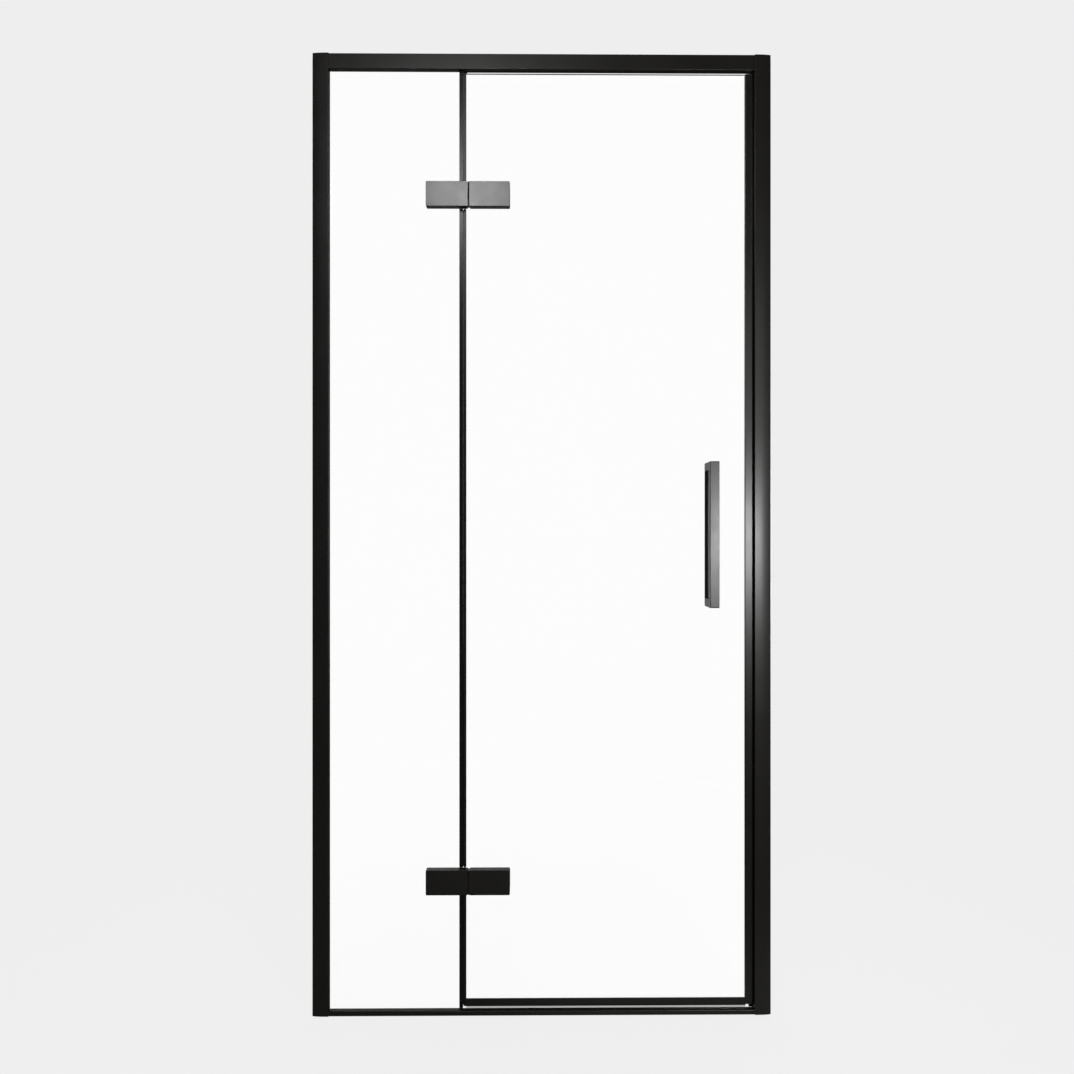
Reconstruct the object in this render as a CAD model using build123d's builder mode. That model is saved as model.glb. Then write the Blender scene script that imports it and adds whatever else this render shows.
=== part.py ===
"""Framed shower door for a recess: a fixed glass light and an outward-opening glass door.

The door hangs on two glass-to-glass block hinges. Millimetres. X runs along the opening to the right,
Y runs away from the room into the shower, Z is up. The origin is on the floor, at the middle of the
opening, on the middle plane of the glass.
"""

import math
import os

from build123d import *

os.makedirs("parts", exist_ok=True)

# Overall size and glass
set_width = 907.0
set_height = 1900.0
glass_thickness = 6.0

# Aluminium frame profiles
profile_wall = 1.6
jamb_face = 32.5
jamb_flat = 2.0
jamb_bow = 2.0
jamb_outer_radius = 1.0
jamb_front = 16.5
jamb_back = 13.5
jamb_wall_gap = 0.5
jamb_rear_setback = 5.5
wall_pocket_depth = 13.9
jamb_edge_radius = 0.8
rail_front = 15.0
header_back = 13.0
header_height = 30.0
header_rear_rise = 10.0
header_slot_depth = 16.0
header_edge_radius = 0.8
sill_height = 9.0
sill_back = 6.5
sill_base = 1.6
sill_edge_radius = 1.5

# Wall channels inside the jambs
channel_depth = 13.0
channel_side_clearance = 0.3
channel_top_gap = 10.0
wall_hole_radius = 2.75
wall_hole_end_distance = 150.0

# Screws that hold the frame together
frame_screw_radius = 1.6
frame_screw_length = 22.0
frame_screw_head_radius = 2.9
frame_screw_head_height = 1.8
flute_wall = 1.3
flute_inset = 2.2
jamb_screw_radius = 1.6
jamb_screw_reach = 3.6
jamb_screw_head_radius = 3.4
jamb_screw_head_height = 1.8
jamb_screw_from_wall = 7.0
jamb_screw_end_distance = 120.0
screw_cap_radius = 5.0
screw_cap_height = 3.4
screw_clearance = 0.05
screw_edge_chamfer = 0.5
cap_edge_chamfer = 1.0

# Caps and corner keys
jamb_cap_thickness = 1.5
cap_plug_depth = 6.0
cap_plug_clearance = 0.6
key_thickness = 3.5
key_reach = 30.0
key_height = 9.5
key_clearance = 0.3

# Glazing of the fixed light
gasket_thickness = 1.5
jamb_gasket_width = 6.0
header_gasket_height = 6.0
glass_jamb_clearance = 3.0
glass_header_clearance = 2.0
sill_pad = 1.6
sill_gasket_front = 5.0
sill_gasket_rear = 0.8
fixed_light_width = 263.8
edge_profile_face = 7.1
edge_profile_wall = 1.5
edge_profile_depth = 10.0
glass_side_clearance = 0.2
hinge_cut_clearance = 0.5
rail_end_clearance = 0.2

# Door leaf
door_hinge_gap = 1.8
door_strike_gap = 0.7
door_head_gap = 2.5
door_seal_face = 4.5
door_seal_wall = 1.3
door_seal_depth = 9.6
door_seal_lip = 1.6
door_seal_lip_thickness = 1.0
closing_profile_face = 14.8
closing_profile_wall = 2.2
closing_profile_bottom = 15.0
closing_pocket_depth = 9.0
door_profile_depth = 11.0
door_profile_radius = 1.2
bottom_profile_bottom = 12.9
bottom_profile_height = 14.9
bottom_profile_rear_height = 8.0
bottom_profile_floor = 3.3
sweep_groove_width = 3.0
sweep_groove_depth = 1.6
sweep_reach = 3.4
sweep_drop = 3.2
sweep_thickness = 1.0
door_glass_clearance = 0.3

# Magnetic closing
magnet_width = 4.2
magnet_thickness = 2.3
magnet_side_wall = 0.8
magnet_clearance = 0.15
strike_projection = 5.0
strike_gap = 0.7
strike_depth = 6.3
strike_stem = 10.8
strike_clearance = 0.3
header_seal_drop = 0.8
header_seal_wall = 1.4

# Block hinges
hinge_centre_from_floor = 263.6
hinge_centre_from_top = 277.5
hinge_height = 49.2
hinge_fixed_leaf = 83.0
hinge_moving_leaf = 80.1
hinge_body_depth = 14.0
hinge_gasket = 1.0
hinge_gasket_margin = 1.5
hinge_plate = 5.0
hinge_plate_height = 36.4
hinge_corner_radius = 2.5
hinge_edge_radius = 0.5
pin_from_door_edge = 11.7
pin_from_face = 2.5
pin_radius = 1.5
pin_clearance = 0.05
pin_end_gap = 0.5
pin_edge_chamfer = 0.4
knuckle_radius = 2.35
knuckle_clearance = 0.2
moving_knuckle_height = 19.4
knuckle_end_gap = 0.2
leaf_swing_clearance = 0.25
clamp_screw_radius = 3.0
clamp_screw_head_radius = 5.5
clamp_screw_bite = 10.0
clamp_screw_spacing = 20.0
fixed_screw_from_pin = 50.0
moving_screw_from_pin = 40.0
clamp_sleeve_radius = 5.8
glass_hole_clearance = 0.2
back_plate_edge_margin = 2.0

# Bar handle
handle_length = 284.0
handle_width = 18.0
handle_centre_height = 950.0
handle_from_closing_edge = 87.0
handle_bar_depth = 13.0
handle_finger_depth = 34.0
handle_post = 16.0
handle_outer_radius = 2.0
handle_inner_radius = 3.0
handle_edge_radius = 0.8
handle_plate = 3.0
handle_screw_radius = 2.5
handle_screw_bite = 20.0
handle_screw_head_radius = 4.2
handle_screw_head_height = 3.0
handle_sleeve_radius = 3.8
handle_washer = 1.5
handle_cap_radius = 7.0
handle_cap_height = 5.5

# Places worked out from the sizes above
half_glass = glass_thickness / 2
half_slot = half_glass + gasket_thickness
wall_x = set_width / 2
jamb_inner = wall_x - jamb_face
pocket_front = -jamb_front + jamb_bow + profile_wall
rail_rear_end = jamb_inner + jamb_rear_setback
header_bottom = set_height - header_height
header_web = header_bottom + header_slot_depth
glass_top = header_bottom - door_head_gap
edge_profile_right = -jamb_inner + fixed_light_width
edge_profile_left = edge_profile_right - edge_profile_face
fixed_glass_right = edge_profile_right - edge_profile_wall - glass_side_clearance
fixed_glass_bottom = sill_base + sill_pad
fixed_glass_top = header_web - glass_header_clearance
door_left = edge_profile_right + door_hinge_gap
door_right = jamb_inner - door_strike_gap
door_glass_left = door_left + door_seal_wall + glass_side_clearance
closing_left = door_right - closing_profile_face
door_glass_right = closing_left + closing_pocket_depth - door_glass_clearance
door_glass_bottom = bottom_profile_bottom + bottom_profile_floor + door_glass_clearance
half_door_profile = door_profile_depth / 2
pin_x = door_left + pin_from_door_edge
hinge_back = -half_glass - hinge_gasket
hinge_front = hinge_back - hinge_body_depth
pin_y = hinge_front + pin_from_face
fixed_leaf_right = pin_x - pin_from_face - leaf_swing_clearance
fixed_leaf_left = fixed_leaf_right - hinge_fixed_leaf
moving_leaf_right = pin_x + hinge_moving_leaf
half_hinge = hinge_height / 2
hinge_centres = {"bottom": hinge_centre_from_floor, "top": set_height - hinge_centre_from_top}
plate_front = half_glass + hinge_gasket
plate_back = plate_front + hinge_plate
fixed_screw_x = pin_x - fixed_screw_from_pin
moving_screw_x = pin_x + moving_screw_from_pin
handle_x = door_right - handle_from_closing_edge
handle_bottom = handle_centre_height - handle_length / 2
handle_top = handle_centre_height + handle_length / 2
handle_plate_front = -half_glass - handle_plate
handle_front = handle_plate_front - handle_finger_depth - handle_bar_depth
handle_screw_heights = (handle_bottom + handle_post / 2, handle_top - handle_post / 2)
jamb_top = set_height - jamb_cap_thickness
flute_y = -rail_front + profile_wall + flute_inset
flute_z = header_web + profile_wall + flute_inset
sill_port_y = -(rail_front + half_slot) / 2
sill_port_z = sill_height / 2
strike_left = jamb_inner - strike_projection
strike_front = half_door_profile + strike_gap
strike_face = jamb_inner + strike_clearance
wall_hole_pitch = (set_height - 2 * wall_hole_end_distance) / 3
sides = {"left": -1, "right": 1}


def write(piece, name):
    """Label a finished piece and write its file."""
    piece.part.label = name
    export_step(piece.part, f"parts/{name}.step")


def from_wall(side, distance):
    """X of a point at a distance inwards from the wall on one side."""
    return side * (wall_x - distance)


def wall_channel(side):
    """U-shaped channel that is screwed to the wall and takes up its unevenness."""
    front = pocket_front + channel_side_clearance
    back = jamb_back - profile_wall - channel_side_clearance
    web_middle = (front + back) / 2
    section = [
        (0, front),
        (channel_depth, front),
        (channel_depth, front + profile_wall),
        (profile_wall, front + profile_wall),
        (profile_wall, back - profile_wall),
        (channel_depth, back - profile_wall),
        (channel_depth, back),
        (0, back),
    ]
    with BuildPart() as channel:
        with BuildSketch():
            with BuildLine():
                Polyline([(from_wall(side, u), y) for u, y in section], close=True)
            make_face()
        extrude(amount=set_height - channel_top_gap)
        with BuildSketch(Plane.YZ.offset(from_wall(side, profile_wall / 2))):
            heights = [wall_hole_end_distance + i * wall_hole_pitch for i in range(4)]
            with Locations(*[(web_middle, height) for height in heights]):
                Circle(wall_hole_radius)
        extrude(amount=profile_wall, both=True, mode=Mode.SUBTRACT)
        with BuildSketch(Plane.XZ.offset(-back)):
            with Locations(*jamb_screw_places(side)):
                Circle(jamb_screw_radius + screw_clearance)
        extrude(amount=profile_wall, mode=Mode.SUBTRACT)
    return channel


def jamb_screw_places(side):
    """X and Z of the screws that tie a jamb to its wall channel."""
    heights = (jamb_screw_end_distance, set_height / 2, set_height - jamb_screw_end_distance)
    return [(from_wall(side, jamb_screw_from_wall), height) for height in heights]


def bow_points(side):
    """Control points of a jamb's front, level beside the glass and bowed back towards the wall."""
    start = jamb_face - jamb_flat
    end = jamb_wall_gap + jamb_outer_radius
    third = (start - end) / 3
    depths = (-jamb_front, -jamb_front, -jamb_front, -jamb_front + jamb_bow)
    return [(from_wall(side, start - i * third), y) for i, y in enumerate(depths)]


def outer_edge_points(side):
    """Three points of the arc that rounds a jamb's front outer edge."""
    middle = jamb_outer_radius * (1 - math.cos(math.radians(45)))
    front = -jamb_front + jamb_bow
    places = (
        (jamb_wall_gap + jamb_outer_radius, front),
        (jamb_wall_gap + middle, front + middle),
        (jamb_wall_gap, front + jamb_outer_radius),
    )
    return [(from_wall(side, u), y) for u, y in places]


def jamb(side):
    """Jamb profile: one pocket slides over the wall channel, the other faces the glass."""
    rear_end = jamb_face - jamb_rear_setback
    web = wall_pocket_depth + profile_wall
    section = [
        (jamb_face - jamb_flat, -jamb_front),
        (jamb_face, -jamb_front),
        (jamb_face, -half_slot),
        (jamb_face - profile_wall, -half_slot),
        (jamb_face - profile_wall, -jamb_front + profile_wall),
        (web, -jamb_front + profile_wall),
        (web, jamb_back - profile_wall),
        (rear_end - profile_wall, jamb_back - profile_wall),
        (rear_end - profile_wall, half_slot),
        (rear_end, half_slot),
        (rear_end, jamb_back),
        (jamb_wall_gap, jamb_back),
        (jamb_wall_gap, jamb_back - profile_wall),
        (wall_pocket_depth, jamb_back - profile_wall),
        (wall_pocket_depth, pocket_front),
        (jamb_wall_gap, pocket_front),
        (jamb_wall_gap, -jamb_front + jamb_bow + jamb_outer_radius),
    ]
    rounded = [(jamb_face, -jamb_front), (rear_end, jamb_back)]
    with BuildPart() as post:
        with BuildSketch() as outline:
            with BuildLine():
                Polyline([(from_wall(side, u), y) for u, y in section])
                Bezier(*bow_points(side))
                ThreePointArc(*outer_edge_points(side))
            make_face()
            corners = [
                outline.vertices().sort_by_distance((from_wall(side, u), y))[0] for u, y in rounded
            ]
            fillet(corners, radius=jamb_edge_radius)
        extrude(amount=jamb_top)
        with BuildSketch(Plane.XZ.offset(-jamb_back)):
            with Locations(*jamb_screw_places(side)):
                Circle(jamb_screw_radius + screw_clearance)
        extrude(amount=profile_wall, mode=Mode.SUBTRACT)
        with BuildSketch(Plane.YZ.offset(side * jamb_inner)):
            with Locations((flute_y, flute_z), (sill_port_y, sill_port_z)):
                Circle(frame_screw_radius + screw_clearance)
        extrude(amount=side * profile_wall, mode=Mode.SUBTRACT)
    return post


def jamb_cap(side):
    """Cap on the open top end of a jamb, with a plug in the wall pocket."""
    rear_end = jamb_face - jamb_rear_setback
    outline = [
        (jamb_face - jamb_flat, -jamb_front),
        (jamb_face, -jamb_front),
        (jamb_face, half_slot),
        (rear_end, half_slot),
        (rear_end, jamb_back),
        (jamb_wall_gap, jamb_back),
        (jamb_wall_gap, -jamb_front + jamb_bow + jamb_outer_radius),
    ]
    plug_front = pocket_front + cap_plug_clearance
    plug_back = jamb_back - profile_wall - cap_plug_clearance
    plug_depth = wall_pocket_depth - jamb_wall_gap - 2 * cap_plug_clearance
    plug_middle = from_wall(side, (wall_pocket_depth + jamb_wall_gap) / 2)
    with BuildPart() as cap:
        with BuildSketch(Plane.XY.offset(jamb_top)):
            with BuildLine():
                Polyline([(from_wall(side, u), y) for u, y in outline])
                Bezier(*bow_points(side))
                ThreePointArc(*outer_edge_points(side))
            make_face()
        extrude(amount=jamb_cap_thickness)
        with BuildSketch(Plane.XY.offset(jamb_top)):
            with Locations((plug_middle, (plug_front + plug_back) / 2)):
                Rectangle(plug_depth, plug_back - plug_front)
        extrude(amount=-cap_plug_depth)
    return cap


def rail_notches(bottom, height):
    """What is cut from a rail's ends so that its front butts on the jambs and its rear runs on."""
    with BuildPart() as notches:
        with BuildSketch(Plane.XY.offset(bottom)):
            for side in sides.values():
                with Locations((side * (jamb_inner + jamb_rear_setback), half_slot - rail_front)):
                    Rectangle(2 * jamb_rear_setback, 2 * rail_front)
        extrude(amount=height)
    return notches.part


def header_rail():
    """Header profile: closed chamber with a screw flute above, glazing slot below."""
    inner_front = -rail_front + profile_wall
    inner_back = header_back - profile_wall
    rear_bottom = header_bottom + header_rear_rise
    section = [
        (-rail_front, header_bottom),
        (-rail_front, set_height),
        (header_back, set_height),
        (header_back, rear_bottom),
        (half_slot, rear_bottom),
        (half_slot, rear_bottom + profile_wall),
        (inner_back, rear_bottom + profile_wall),
        (inner_back, header_web),
        (inner_front, header_web),
        (inner_front, header_bottom + profile_wall),
        (-half_slot, header_bottom + profile_wall),
        (-half_slot, header_bottom),
    ]
    chamber_bottom = header_web + profile_wall
    chamber_top = set_height - profile_wall
    with BuildPart() as header:
        with BuildSketch(Plane.YZ.offset(-rail_rear_end)) as outline:
            with BuildLine():
                Polyline(section, close=True)
            make_face()
            with Locations(((inner_front + inner_back) / 2, (chamber_bottom + chamber_top) / 2)):
                Rectangle(inner_back - inner_front, chamber_top - chamber_bottom, mode=Mode.SUBTRACT)
            with Locations((flute_y, flute_z)):
                Circle(frame_screw_radius + flute_wall)
                Circle(frame_screw_radius + screw_clearance, mode=Mode.SUBTRACT)
            front_corners = [
                outline.vertices().sort_by_distance((-rail_front, z))[0]
                for z in (header_bottom, set_height)
            ]
            fillet(front_corners, radius=header_edge_radius)
        extrude(amount=2 * rail_rear_end)
        add(rail_notches(header_bottom, header_height), mode=Mode.SUBTRACT)
    return header


def sill_rail():
    """Sill profile: a low threshold ridge with a drained ledge behind it."""
    section = [
        (-rail_front, 0),
        (-rail_front, sill_height),
        (-half_slot, sill_height),
        (-half_slot, sill_base),
        (sill_back, sill_base),
        (sill_back, 0),
    ]
    with BuildPart() as sill:
        with BuildSketch(Plane.YZ.offset(-rail_rear_end)) as outline:
            with BuildLine():
                Polyline(section, close=True)
            make_face()
            with Locations((sill_port_y, sill_port_z)):
                Circle(frame_screw_radius + screw_clearance, mode=Mode.SUBTRACT)
            front_corner = outline.vertices().sort_by_distance((-rail_front, sill_height))[0]
            fillet(front_corner, radius=sill_edge_radius)
        extrude(amount=2 * rail_rear_end)
        add(rail_notches(0, sill_height), mode=Mode.SUBTRACT)
    return sill


def corner_key(side):
    """Angle key that locks a header end into the glazing pocket of a jamb."""
    key_bottom = header_web + profile_wall + key_clearance
    pocket_face = from_wall(side, wall_pocket_depth + profile_wall)
    half_width = half_slot - key_clearance
    run = pocket_face - side * (jamb_inner - key_reach)
    outline = [
        (0, 0),
        (-run, 0),
        (-run, key_thickness),
        (-side * key_thickness, key_thickness),
        (-side * key_thickness, key_height),
        (0, key_height),
    ]
    with BuildPart() as key:
        with BuildSketch(Plane.XZ):
            with BuildLine():
                Polyline([(pocket_face + x, key_bottom + z) for x, z in outline], close=True)
            make_face()
        extrude(amount=half_width, both=True)
    return key


def frame_corner_screws():
    """Screws through the jambs' front lips into the header flute and the sill port."""
    with BuildPart() as screws:
        for side in sides.values():
            with BuildSketch(Plane.YZ.offset(side * (jamb_inner + profile_wall))):
                with Locations((flute_y, flute_z), (sill_port_y, sill_port_z)):
                    Circle(frame_screw_head_radius)
            extrude(amount=side * frame_screw_head_height)
            with BuildSketch(Plane.YZ.offset(side * (jamb_inner + profile_wall))):
                with Locations((flute_y, flute_z), (sill_port_y, sill_port_z)):
                    Circle(frame_screw_radius)
            extrude(amount=-side * frame_screw_length)
    return screws


def jamb_screws(side):
    """Screws through the rear face of a jamb into its wall channel."""
    with BuildPart() as screws:
        with BuildSketch(Plane.XZ.offset(-jamb_back)):
            with Locations(*jamb_screw_places(side)):
                Circle(jamb_screw_head_radius)
        extrude(amount=-jamb_screw_head_height)
        with BuildSketch(Plane.XZ.offset(-jamb_back)):
            with Locations(*jamb_screw_places(side)):
                Circle(jamb_screw_radius)
        extrude(amount=profile_wall + jamb_screw_reach)
        heads = screws.faces().filter_by(Axis.Y).sort_by(Axis.Y)[-3:]
        chamfer(heads.edges(), length=screw_edge_chamfer)
    return screws


def jamb_screw_caps(side):
    """Bevelled caps over the jamb screws."""
    cap_bore = jamb_screw_head_radius + cap_plug_clearance / 2
    with BuildPart() as caps:
        with BuildSketch(Plane.XZ.offset(-jamb_back)):
            with Locations(*jamb_screw_places(side)):
                Circle(screw_cap_radius)
        extrude(amount=-screw_cap_height)
        tops = caps.faces().filter_by(Axis.Y).sort_by(Axis.Y)[-3:]
        chamfer(tops.edges(), length=cap_edge_chamfer)
        with BuildSketch(Plane.XZ.offset(-jamb_back)):
            with Locations(*jamb_screw_places(side)):
                Circle(cap_bore)
        extrude(amount=-(jamb_screw_head_height + screw_clearance), mode=Mode.SUBTRACT)
    return caps


def clamp_places(screw_x, centre):
    """X and Z of the two clamp screws of one hinge leaf."""
    half_pitch = clamp_screw_spacing / 2
    return [(screw_x, centre - half_pitch), (screw_x, centre + half_pitch)]


def glass_pane(left, right, bottom, top, screw_x, handle_places=()):
    """Toughened glass pane with holes for the hinge clamps and, on the door, the handle."""
    with BuildPart() as pane:
        with BuildSketch(Plane.XZ):
            with Locations(((left + right) / 2, (bottom + top) / 2)):
                Rectangle(right - left, top - bottom)
            for centre in hinge_centres.values():
                with Locations(*clamp_places(screw_x, centre)):
                    Circle(clamp_sleeve_radius + glass_hole_clearance, mode=Mode.SUBTRACT)
            if handle_places:
                with Locations(*handle_places):
                    Circle(handle_sleeve_radius + glass_hole_clearance, mode=Mode.SUBTRACT)
        extrude(amount=half_glass, both=True)
    return pane


def strip(sections, plane, length):
    """Rubber strips of plain rectangular section, given as corner pairs, along one direction."""
    with BuildPart() as strips:
        with BuildSketch(plane):
            for (u0, v0), (u1, v1) in sections:
                with Locations(((u0 + u1) / 2, (v0 + v1) / 2)):
                    Rectangle(abs(u1 - u0), abs(v1 - v0))
        extrude(amount=length)
    return strips


def jamb_glazing_gasket():
    """Front and rear gaskets of the fixed light in the left jamb."""
    front_edge = -jamb_inner - rail_end_clearance
    rear_edge = front_edge - jamb_rear_setback
    front = ((front_edge - jamb_gasket_width, -half_slot), (front_edge, -half_glass))
    rear = ((rear_edge - jamb_gasket_width, half_glass), (rear_edge, half_slot))
    bottom = sill_height + rail_end_clearance
    return strip([front, rear], Plane.XY.offset(bottom), header_bottom - rail_end_clearance - bottom)


def header_glazing_gasket():
    """Front and rear gaskets of the fixed light in the header."""
    front_z = header_bottom + rail_end_clearance
    rear_z = header_bottom + header_rear_rise
    rear_top = min(rear_z + header_gasket_height, fixed_glass_top)
    front = ((-half_slot, front_z), (-half_glass, front_z + header_gasket_height))
    rear = ((half_glass, rear_z), (half_slot, rear_top))
    length = fixed_glass_right + jamb_inner
    return strip([front, rear], Plane.YZ.offset(-jamb_inner), length)


def sill_glazing_gasket():
    """Rubber shoe under the fixed light, seated on the sill's ledge."""
    seat = fixed_glass_bottom
    section = [
        (-half_slot, sill_base),
        (half_slot, sill_base),
        (half_slot, seat + sill_gasket_rear),
        (half_glass, seat + sill_gasket_rear),
        (half_glass, seat),
        (-half_glass, seat),
        (-half_glass, seat + sill_gasket_front),
        (-half_slot, seat + sill_gasket_front),
    ]
    with BuildPart() as shoe:
        with BuildSketch(Plane.YZ.offset(-jamb_inner)):
            with BuildLine():
                Polyline(section, close=True)
            make_face()
        extrude(amount=fixed_glass_right + jamb_inner)
    return shoe


def upright_spans(bottom, top):
    """Height ranges of an edge profile that is cut round both hinges."""
    margin = half_hinge + hinge_cut_clearance
    low, high = hinge_centres["bottom"], hinge_centres["top"]
    return {
        "lower": (bottom, low - margin),
        "middle": (low + margin, high - margin),
        "upper": (high + margin, top),
    }


def fixed_edge_profile(bottom, top):
    """Slim U profile on the free edge of the fixed light."""
    half_depth = edge_profile_depth / 2
    pocket = half_glass + glass_side_clearance
    web = edge_profile_right - edge_profile_wall
    section = [
        (edge_profile_left, -half_depth),
        (edge_profile_right, -half_depth),
        (edge_profile_right, half_depth),
        (edge_profile_left, half_depth),
        (edge_profile_left, pocket),
        (web, pocket),
        (web, -pocket),
        (edge_profile_left, -pocket),
    ]
    with BuildPart() as profile:
        with BuildSketch(Plane.XY.offset(bottom)):
            with BuildLine():
                Polyline(section, close=True)
            make_face()
        extrude(amount=top - bottom)
    return profile


def door_edge_seal(bottom, top):
    """Seal on the hinge edge of the door, with a lip that closes the joint to the fixed light."""
    half_depth = door_seal_depth / 2
    pocket = half_glass + glass_side_clearance
    lip = door_seal_lip_thickness / 2
    section = [
        (0, -half_depth),
        (door_seal_face, -half_depth),
        (door_seal_face, -pocket),
        (door_seal_wall, -pocket),
        (door_seal_wall, pocket),
        (door_seal_face, pocket),
        (door_seal_face, half_depth),
        (0, half_depth),
        (0, lip),
        (-door_seal_lip, lip),
        (-door_seal_lip, -lip),
        (0, -lip),
    ]
    with BuildPart() as seal:
        with BuildSketch(Plane.XY.offset(bottom)):
            with BuildLine():
                Polyline([(door_left + x, y) for x, y in section], close=True)
            make_face()
        extrude(amount=top - bottom)
    return seal


def closing_profile():
    """Wide profile on the closing edge of the door, with a groove for its magnet at the rear."""
    groove_right = door_right - magnet_side_wall
    groove_left = groove_right - magnet_width
    groove_floor = half_door_profile - magnet_thickness
    pocket_end = closing_left + closing_pocket_depth
    pocket = half_glass + door_glass_clearance
    section = [
        (closing_left, -half_door_profile),
        (door_right, -half_door_profile),
        (door_right, half_door_profile),
        (groove_right, half_door_profile),
        (groove_right, groove_floor),
        (groove_left, groove_floor),
        (groove_left, half_door_profile),
        (closing_left, half_door_profile),
        (closing_left, pocket),
        (pocket_end, pocket),
        (pocket_end, -pocket),
        (closing_left, -pocket),
    ]
    chamber_left = pocket_end + closing_profile_wall / 2
    chamber_right = door_right - closing_profile_wall / 2
    chamber_front = -half_door_profile + closing_profile_wall
    chamber_back = groove_floor - closing_profile_wall / 2
    with BuildPart() as profile:
        with BuildSketch(Plane.XY.offset(closing_profile_bottom)) as outline:
            with BuildLine():
                Polyline(section, close=True)
            make_face()
            with Locations(((chamber_left + chamber_right) / 2, (chamber_front + chamber_back) / 2)):
                Rectangle(
                    chamber_right - chamber_left, chamber_back - chamber_front, mode=Mode.SUBTRACT
                )
            corner = outline.vertices().sort_by_distance((door_right, -half_door_profile))[0]
            fillet(corner, radius=door_profile_radius)
        extrude(amount=glass_top - closing_profile_bottom)
    return profile


def door_magnet():
    """Magnet strip in the closing profile."""
    right = door_right - magnet_side_wall - magnet_clearance
    left = right - magnet_width + 2 * magnet_clearance
    front = half_door_profile - magnet_thickness + magnet_clearance
    section = ((left, front), (right, half_door_profile))
    return strip([section], Plane.XY.offset(closing_profile_bottom), glass_top - closing_profile_bottom)


def bottom_profile():
    """Profile along the bottom edge of the door, with a groove for the sweep."""
    pocket = half_glass + door_glass_clearance
    top = bottom_profile_bottom + bottom_profile_height
    rear_top = bottom_profile_bottom + bottom_profile_rear_height
    floor = bottom_profile_bottom + bottom_profile_floor
    groove = sweep_groove_width / 2
    groove_top = bottom_profile_bottom + sweep_groove_depth
    section = [
        (-half_door_profile, bottom_profile_bottom),
        (-half_door_profile, top),
        (-pocket, top),
        (-pocket, floor),
        (pocket, floor),
        (pocket, rear_top),
        (half_door_profile, rear_top),
        (half_door_profile, bottom_profile_bottom),
        (groove, bottom_profile_bottom),
        (groove, groove_top),
        (-groove, groove_top),
        (-groove, bottom_profile_bottom),
    ]
    with BuildPart() as profile:
        with BuildSketch(Plane.YZ.offset(bottom_run()[0])) as outline:
            with BuildLine():
                Polyline(section, close=True)
            make_face()
            corner = outline.vertices().sort_by_distance(
                (-half_door_profile, bottom_profile_bottom)
            )[0]
            fillet(corner, radius=door_profile_radius)
        extrude(amount=bottom_run()[1] - bottom_run()[0])
    return profile


def bottom_run():
    """X range of the bottom profile, between the hinge-edge seal and the closing profile."""
    return (door_left + door_seal_face + rail_end_clearance, closing_left - rail_end_clearance)


def bottom_sweep():
    """Rubber fin that turns water back into the shower, clear above the sill's ridge."""
    half_base = sweep_groove_width / 2 - magnet_clearance
    base_top = bottom_profile_bottom + sweep_groove_depth - magnet_clearance
    tip = bottom_profile_bottom - sweep_drop
    section = [
        (-half_base, base_top),
        (half_base, base_top),
        (half_base, bottom_profile_bottom),
        (sweep_reach + sweep_thickness, tip),
        (sweep_reach, tip),
        (half_base - 2 * sweep_thickness, bottom_profile_bottom - sweep_thickness / 2),
        (-half_base, bottom_profile_bottom),
    ]
    with BuildPart() as sweep_strip:
        with BuildSketch(Plane.YZ.offset(bottom_run()[0])):
            with BuildLine():
                Polyline(section, close=True)
            make_face()
        extrude(amount=bottom_run()[1] - bottom_run()[0])
    return sweep_strip


def strike_profile():
    """Strike clipped into the right jamb, with the fixed magnet behind the door's edge."""
    stem_end = strike_face + strike_stem
    half_stem = half_slot - strike_clearance
    block_right = rail_rear_end - strike_clearance
    back = strike_front + strike_depth
    groove_left = strike_left + magnet_side_wall
    groove_right = groove_left + magnet_width
    groove_floor = strike_front + magnet_thickness
    section = [
        (strike_face, -half_stem),
        (stem_end, -half_stem),
        (stem_end, half_stem),
        (block_right, half_stem),
        (block_right, back),
        (strike_left, back),
        (strike_left, strike_front),
        (groove_left, strike_front),
        (groove_left, groove_floor),
        (groove_right, groove_floor),
        (groove_right, strike_front),
        (strike_face, strike_front),
    ]
    top = header_bottom + header_rear_rise - strike_clearance
    with BuildPart() as strike:
        with BuildSketch(Plane.XY.offset(sill_base)):
            with BuildLine():
                Polyline(section, close=True)
            make_face()
            with Locations(((strike_face + stem_end) / 2, 0)):
                Rectangle(
                    strike_stem - 2 * profile_wall, 2 * (half_stem - profile_wall), mode=Mode.SUBTRACT
                )
        extrude(amount=top - sill_base)
    return strike


def strike_magnet():
    """Magnet strip in the strike."""
    left = strike_left + magnet_side_wall + magnet_clearance
    right = left + magnet_width - 2 * magnet_clearance
    back = strike_front + magnet_thickness - magnet_clearance
    section = ((left, strike_front - magnet_clearance), (right, back))
    length = glass_top - closing_profile_bottom
    return strip([section], Plane.XY.offset(closing_profile_bottom), length)


def header_door_seal():
    """Hollow rubber filler of the header slot above the door."""
    left = edge_profile_right + rail_end_clearance
    half_width = half_slot - rail_end_clearance
    bottom = header_bottom - header_seal_drop
    top = header_web - rail_end_clearance
    with BuildPart() as seal:
        with BuildSketch(Plane.YZ.offset(left)):
            with Locations((0, (bottom + top) / 2)):
                Rectangle(2 * half_width, top - bottom)
                Rectangle(
                    2 * (half_width - header_seal_wall),
                    top - bottom - 2 * header_seal_wall,
                    mode=Mode.SUBTRACT,
                )
        extrude(amount=jamb_inner - rail_end_clearance - left)
    return seal


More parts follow.
